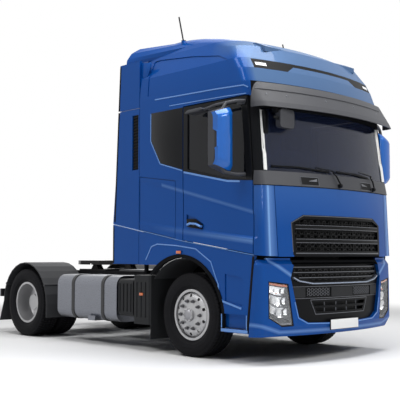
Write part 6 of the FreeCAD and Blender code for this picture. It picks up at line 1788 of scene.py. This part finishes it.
@dataclass
class BodySide:
    """One side's raised lines, the flank beside its wheel arch, its step well, handle and louvre."""

    side: Side
    reach: float = 1.252
    # the strips in the lighter edge paint are painted highlights on ribs, lips and creases
    strips: tuple[Strips, ...] = (
        Strips("roof_ribs_", "cab", EDGE_HIGHLIGHT_PAINT, (
            Strip(((-0.579, 3.158), (0.534, 3.135), (0.960, 3.118), (1.030, 3.085)), 0.014, 0.002),
            Strip(((-0.300, 3.045), (0.665, 3.030), (1.000, 3.018)), 0.010, 0.001))),
        Strips("split_lip_", "chassis", EDGE_HIGHLIGHT_PAINT, (
            Strip(((-1.405, 1.616), (-0.048, 1.377), (1.092, 1.2135)), 0.008, 0.0, 0.030),)),
        Strips("arch_crease_", "chassis", EDGE_HIGHLIGHT_PAINT, (
            Strip(((-0.741, 1.149), (-0.63, 1.316), (-0.52, 1.346), (-0.164, 1.325), (0.175, 1.284),
                   (0.433, 1.133), (0.512, 0.959), (0.559, 0.873)), 0.014, 0.003, 0.008),)),
        Strips("step_lip_", "chassis", EDGE_HIGHLIGHT_PAINT, (
            Strip(((0.559, 0.873), (0.559, 0.764), (0.621, 0.691), (0.92, 0.619)), 0.022, 0.004, 0.008),
            Strip(((0.598, 0.368), (1.012, 0.368)), 0.034, 0.002, 0.008),
            Strip(((0.609, 0.392), (0.609, 0.548)), 0.014, 0.002, 0.008),
            Strip(((0.996, 0.392), (0.996, 0.548)), 0.014, 0.002, 0.008))),
        Strips("bumper_joint_", "chassis", SATIN_BLACK, (
            Strip(((1.099, 1.196), (1.004, 0.36)), 0.026, 0.0, 0.008),)),
        Strips("deflector_edge_", "cab", SATIN_BLACK, (
            Strip(((-1.279, 3.690), (-1.3095, 3.10)), 0.026),
            Strip(((-1.3105, 3.08), (-1.383, 1.64)), 0.026))),
        Strips("skirt_edge_", "chassis", SATIN_BLACK, (Strip(((-1.406, 1.585), (-1.406, 1.105)), 0.026),)))
    filler: Path = ((-0.935, 3.42), (-0.80, 3.42), (-0.70, 3.60), (-0.70, 3.66), (-0.935, 3.695))
    filler_reach: float = 1.222
    arch: float = 0.757
    arch_middle: Point = (-0.100, 0.460)
    arch_turn: Point = (24.4, 56.2)
    flank_front: float = 0.592
    flank_top: float = 1.092
    flank_reach: float = 1.2495
    handle_shell: Path = ((0.012, 1.640), (0.172, 1.634), (0.292, 1.562), (0.286, 1.510), (0.030, 1.545))
    handle_grip: Path = ((0.050, 1.572), (0.090, 1.585), (0.200, 1.575), (0.275, 1.545))
    handle_stand: float = 0.016

    def build(self) -> None:
        """Make the side's lines and panels."""
        for strips in self.strips:
            strips.build(self.side, self.reach)
        filler = self.panel(self.filler, self.filler_reach, 0.012, 0.001)
        filler.piece("roof_filler_" + self.side.word, "cab", BLUE_PAINT)
        self.arch_flank()
        self.step()
        self.handle()
        self.louvre()

    def panel(self, outline: Sequence[Point], reach: float, depth: float, bevel: float = 0.0) -> Form:
        """Return a flat panel on the side."""
        return Form().prism(side_path(self.side, outline, reach), towards_middle(self.side, depth), bevel)

    def arch_flank(self) -> None:
        """Make the painted flank between the arch's lip and the fairing's front panel."""
        x, z = self.arch_middle
        turns = [math.radians(angle) for angle in spread(*self.arch_turn, 12)]
        arc = [(x + self.arch * math.cos(turn), z + self.arch * math.sin(turn)) for turn in turns]
        outline = [(self.flank_front, arc[0][1]), *arc, (arc[-1][0], self.flank_top),
                   (self.flank_front, self.flank_top)]
        flank = self.panel(outline, self.flank_reach, 0.030)
        flank.piece("arch_flank_" + self.side.word, "chassis", BLUE_PAINT)

    def step(self) -> None:
        """Make the step well's painted riser and the tread's ribs before it."""
        riser = Form().side_box(self.side, (ahead(0.621), 1.190, 0.389), (ahead(0.984), 1.196, 0.552))
        riser.piece("step_riser_" + self.side.word, "chassis", BLUE_PAINT)
        treads = Form()
        for number in range(7):
            x = ahead(0.65 + 0.048 * number)
            treads.side_box(self.side, (x, 1.198, 0.388), (x + 0.020, 1.242, 0.394), 0.002)
        treads.piece("step_treads_" + self.side.word, "chassis", DARK_SILVER)

    def handle(self) -> None:
        """Make the door handle: a dark shell and a grip over it, painted lighter as a highlight."""
        body = "door_" + self.side.word
        shell = self.panel(self.handle_shell, self.reach, 0.006, 0.001)
        shell.piece("handle_shell_" + self.side.word, body, SATIN_BLACK)
        path = side_path(self.side, self.handle_grip, self.reach + self.handle_stand)
        foot = towards_middle(self.side, self.handle_stand)
        grip = Form().tube([path[0] + foot, *path, path[-1] + foot], 0.015)
        grip.piece("handle_grip_" + self.side.word, body, EDGE_HIGHLIGHT_PAINT)

    def louvre(self) -> None:
        """Make the louvre in the deflector's slot."""
        louvre = Form()
        louvre.side_box(self.side, (ahead(-1.0285), 1.222, 2.3015), (ahead(-0.9065), 1.230, 3.0085))
        for number in range(18):
            z = 2.315 + 0.0385 * number
            louvre.side_box(self.side, (ahead(-1.022), 1.229, z), (ahead(-0.913), 1.244, z + 0.016), 0.003)
        louvre.piece("slot_louvre_" + self.side.word, "cab", SATIN_BLACK)


@dataclass
class DoorMirror:
    """One side's door mirror: painted cover, dark housing, arms and glass."""

    side: Side
    inner: float = 1.400
    outer: float = 1.648
    rear: float = 0.792
    front: float = 0.973
    low: Point = (2.192, 0.080)
    high: Point = (2.785, 0.085)
    draw: float = 0.060
    end: float = 0.12
    upper_arm: tuple[Place, ...] = ((0.985, 1.255, 2.935), (0.945, 1.36, 2.925), (0.90, 1.47, 2.895),
                                    (0.885, 1.53, 2.80))
    lower_arm: tuple[Place, ...] = ((0.985, 1.255, 2.108), (0.955, 1.37, 2.104), (0.90, 1.50, 2.125),
                                    (0.885, 1.54, 2.19))
    feet: Path = ((2.895, 2.948), (2.092, 2.135))
    glasses: Path = ((2.225, 2.40), (2.43, 2.745))
    kerb_mirror: Path = ((0.185, 2.868), (0.215, 2.856), (0.44, 2.862), (0.50, 2.882), (0.46, 2.905),
                         (0.24, 2.898))
    kerb_arm: tuple[Place, ...] = ((0.46, 1.39, 2.886), (0.70, 1.43, 2.905), (0.90, 1.47, 2.897))

    def levels(self, y: float) -> Point:
        """Return the housing's lowest and highest z at a distance from the middle."""
        share = (self.outer - y) / (self.outer - self.inner)
        return self.low[0] - self.low[1] * share, self.high[0] + self.high[1] * share

    def ring(self, up: float, points: Sequence[Point]) -> list[Vector]:
        """Return plan points (x, y) lifted to a share of the housing's height, drawn in at both ends.

        Args:
            up: share of the height.
            points: plan points ahead of the front axle and off the middle.

        Returns:
            The points.
        """
        past = max(0.0, (up - 1.0 + self.end) / self.end, (self.end - up) / self.end)
        draw = self.draw * past ** 1.5
        ring = []
        for x, y in points:
            low, high = self.levels(y)
            near = (x - self.rear) / (self.front - self.rear)
            ring.append(Vector((ahead(x - draw * near), self.side.value * y, low + (high - low) * up)))
        return ring

    def build(self) -> None:
        """Make the mirror's pieces."""
        word = self.side.word
        body = "door_" + word
        made = self.housing().piece("mirror_back_" + word, body, DARK_PLASTIC)
        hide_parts("mirror_" + word)
        self.arms().piece("mirror_arms_" + word, body, DARK_PLASTIC)
        self.cover().piece("mirror_cover_" + word, body, MIRROR_COVER_LIT_PAINT)
        self.glass().piece("mirror_glass_" + word, body, MIRROR_GLASS)

    def housing(self) -> Form:
        """Return the dark housing."""
        points = [(self.rear, self.inner), (self.rear, self.outer - 0.003), (0.885, self.outer - 0.004),
                  (0.930, 1.615), (0.958, 1.560), (0.962, 1.490), (0.945, 1.430), (0.880, self.inner)]
        return Form().loft([self.ring(up, points) for up in spread(0.0, 1.0, 19)])

    def cover(self) -> Form:
        """Return the painted cover over the housing's front, with a notch in its rear edge.

        Returns:
            The form.
        """
        rows = []
        for up in spread(0.012, 0.988, 37):
            notch = min(1.0, max(0.0, min((up - 0.30) / 0.03, (0.66 - up) / 0.04)))
            rear = min(0.880 + (0.032 if up < 0.30 else 0.0) * (1 - notch) + 0.058 * notch, 0.938)
            points = [(rear, self.outer), (0.942, self.outer - 0.008), (0.961, 1.600),
                      (self.front - 0.004, 1.560), (self.front, 1.500), (self.front - 0.006, 1.452),
                      (0.950, 1.420), (0.925, 1.405)]
            rows.append(self.ring(up, points))
        return Form().slab(rows, rearward(0.006))

    def glass(self) -> Form:
        """Return the main and the wide-angle glass.

        Returns:
            The form.
        """
        x = ahead(self.rear)
        form = Form()
        for low, high in self.glasses:
            form.side_box(self.side, (x - 0.004, self.inner + 0.022, low),
                          (x + 0.004, self.outer - 0.022, high), 0.0015)
        return form

    def arm(self, points: Sequence[Place]) -> list[Vector]:
        """Return an arm's points on this side, from places ahead of the front axle."""
        return [Vector((ahead(x), self.side.value * y, z)) for x, y, z in points]

    def arms(self) -> Form:
        """Return the upper and lower arms, their feet on the door and the kerb mirror.

        Returns:
            The form.
        """
        form = Form()
        for points in (self.upper_arm, self.lower_arm):
            form.tube(self.arm(points), 0.020, 14)
        for low, high in self.feet:
            form.side_box(self.side, (ahead(0.885), 1.2535, low), (ahead(0.995), 1.285, high), 0.008)
        if self.side is Side.RIGHT:
            form.prism(side_path(self.side, self.kerb_mirror, 1.455), Vector((0.0, 0.15, 0.0)), 0.010)
            form.tube(self.arm(self.kerb_arm), 0.016)
        return form


@dataclass
class Lamps:
    """Marker lamps and lenses round the vehicle."""

    strip_span: Point = (0.935, 1.075)
    strip_heights: Point = (3.372, 3.408)
    turn_span: Point = (0.960, 1.045)
    reversing_span: Point = (0.715, 0.790)
    border: float = 0.020

    def build(self) -> None:
        """Make the roof, side and rear lamps."""
        self.roof_strip_lamps()
        self.side_markers()
        self.tail_lenses()

    def roof_strip_lamps(self) -> None:
        """Make the long white lamps at the ends of the roof's dark strip."""
        skin = Skin("roof_strip")
        rows = [[Vector((skin.front(y, z, ahead(0.95)) + 0.004, y, z)) for y in spread(*self.strip_span, 9)]
                for z in spread(*self.strip_heights, 5)]
        Form().slab(rows, rearward(0.012)).mirrored().piece("roof_marker_lamps", "cab", WHITE_LENS)

    def side_markers(self) -> None:
        """Make the amber lamps along both sides."""
        form = Form()
        form.box((ahead(-0.150), 1.2585, 1.226), (ahead(-0.070), 1.274, 1.262), 0.006)
        form.box((ahead(-0.880), 1.233, 0.700), (ahead(-0.810), 1.247, 0.735), 0.005)
        form.mirrored().piece("side_marker_lamps", "chassis", AMBER_LENS)

    def tail_lenses(self) -> None:
        """Make the amber and white parts of the tail lamps."""
        low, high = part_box("tail_lamps")
        lenses = (("tail_turn_lenses", self.turn_span, AMBER_LENS),
                  ("tail_reversing_lenses", self.reversing_span, WHITE_LENS))
        for name, (inner, outer), finish in lenses:
            lens = Form().box((low.x - 0.003, inner, low.z + self.border),
                              (low.x + 0.01, outer, high.z - self.border), 0.004)
            lens.mirrored().piece(name, "chassis", finish)


@dataclass
class SoftParts:
    """The seats' padding and pedestals and the bunk's mattress."""

    seat_x: float = 0.130
    seat_y: float = 0.620
    half_width: float = 0.25
    cushion_x: Point = (0.09, 0.50)
    cushion_z: Point = (1.86, 1.985)
    back_half: float = 0.065
    back_height: float = 0.64
    back_foot: Point = (0.062, 1.975)
    back_lean: float = -0.09
    rest_half: Point = (0.05, 0.138)
    rest_height: float = 0.175
    rest_foot: Point = (-0.028, 2.632)
    bellows_z: Point = (1.462, 1.80)
    bellows_half: float = 0.155
    bellows_fold: float = 0.012
    bellows_share: float = 1.3
    smooth: float = 60.0
    ring_steps: int = 48
    squareness: float = 5.0
    crown_rings: Path = ((0.8, 0.45), (0.5, 0.12), (0.2, 0.0))

    def pillow(self, low: Vector, high: Vector, crown: float, pull: float) -> Form:
        """Return a crowned closed pad inside a box.

        Args:
            low: the box's lowest corner.
            high: the box's highest corner.
            crown: how far the top's edges lie below its middle.
            pull: how far the sides pull in between the corners.

        Returns:
            The pad's form.
        """
        size = high - low
        middle_x, middle_y = low.x + size.x / 2, low.y + size.y / 2
        rings = []
        for level in spread(0.0, 1.0, 8):
            edge = math.sin(level * math.pi) ** 0.35
            ring = []
            for number in range(self.ring_steps):
                angle = 2 * math.pi * number / self.ring_steps
                wave_x, wave_y = math.cos(angle), math.sin(angle)
                power = self.squareness
                scale = (abs(wave_x) ** power + abs(wave_y) ** power) ** (-1 / power)
                inset = pull * (1.0 - abs(wave_x * wave_y) * 2) + 0.02 * (1.0 - edge)
                ring.append(Vector((middle_x + wave_x * scale * (size.x / 2 - inset),
                                    middle_y + wave_y * scale * (size.y / 2 - inset),
                                    low.z + size.z * level)))
            rings.append(ring)
        last = rings[-1]
        for share, fall in self.crown_rings:
            rings.append([Vector((middle_x + (point.x - middle_x) * share,
                                  middle_y + (point.y - middle_y) * share,
                                  high.z - crown * fall)) for point in last])
        for point in last:
            point.z -= crown
        return Form().loft(rings)

    def build(self) -> None:
        """Make the seat pads, backs, head rests and the mattress."""
        for side in Side:
            x, y = ahead(self.seat_x), side.value * self.seat_y
            low = Vector((x + self.cushion_x[0], y - self.half_width, self.cushion_z[0]))
            high = Vector((x + self.cushion_x[1], y + self.half_width, self.cushion_z[1]))
            seat = self.pillow(low, high, 0.02, 0.008)
            made = seat.piece("seat_cushion_" + side.word, "cab", SEAT_CLOTH, self.smooth)
            if side is Side.LEFT:
                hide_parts("seats")
            self.back(side, x, y)
            self.base(side, x, y)
        low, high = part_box("bunk_mattress")
        mattress = self.pillow(low, high, 0.025, 0.01)
        made = mattress.piece("bunk_mattress_pad", "cab", SEAT_CLOTH, self.smooth)
        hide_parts("bunk_mattress")

    def back(self, side: Side, x: float, y: float) -> None:
        """Make one seat's back and head rest, leaning back.

        Args:
            side: the vehicle's side.
            x: the seat's place along the vehicle.
            y: the seat's middle across it.
        """
        back = self.pillow(Vector((-self.back_half, -self.half_width, 0.0)),
                           Vector((self.back_half, self.half_width, self.back_height)), 0.012, 0.006)
        lean = Matrix.Rotation(math.atan2(self.back_lean, self.back_height), 4, "Y")
        place = Vector((x + self.back_foot[0], y, self.back_foot[1]))
        back.mesh.transform(Matrix.Translation(place) @ lean)
        made = back.piece("seat_back_" + side.word, "cab", SEAT_CLOTH, self.smooth)
        half_x, half_y = self.rest_half
        rest = self.pillow(Vector((-half_x, -half_y, 0.0)), Vector((half_x, half_y, self.rest_height)), 0.02,
                           0.008)
        rest.mesh.transform(Matrix.Translation(Vector((x + self.rest_foot[0], y, self.rest_foot[1]))))
        made = rest.piece("head_rest_" + side.word, "cab", SEAT_CLOTH, self.smooth)

    def base(self, side: Side, x: float, y: float) -> None:
        """Make one seat's pedestal with its folded bellows.

        Args:
            side: the vehicle's side.
            x: the seat's place along the vehicle.
            y: the seat's middle across it.
        """
        form = Form()
        rows = []
        for number, z in enumerate(spread(*self.bellows_z, 13)):
            half = self.bellows_half - self.bellows_fold * (number % 2)
            rows.append([Vector((x + 0.25 + half * self.bellows_share * cx, y + half * cy, z))
                         for cx, cy in ((-1, -1), (1, -1), (1, 1), (-1, 1))])
        form.loft(rows)
        form.box((x + 0.02, y - 0.22, 1.80), (x + 0.48, y + 0.22, 1.862), 0.012)
        form.piece("seat_base_" + side.word, "cab", CAB_TRIM)


def main() -> None:
    """Build the studio and every part of the vehicle's dress, in order."""
    logging.basicConfig(level=logging.INFO, format="%(name)s: %(message)s")
    parts = (Studio(), CadDress(), Tyres(), WheelTrim(), GrilleMesh(), GrilleTrim(), BumperMiddle(),
             Headlamps(), NumberPlate(), DarkGlassline(), FrontDetails(), *(BodySide(side) for side in Side),
             *(DoorMirror(side) for side in Side), Lamps(), SoftParts())
    for part in parts:
        part.build()
        LOG.info("%s done", type(part).__name__)


if __name__ == "__main__":
    main()
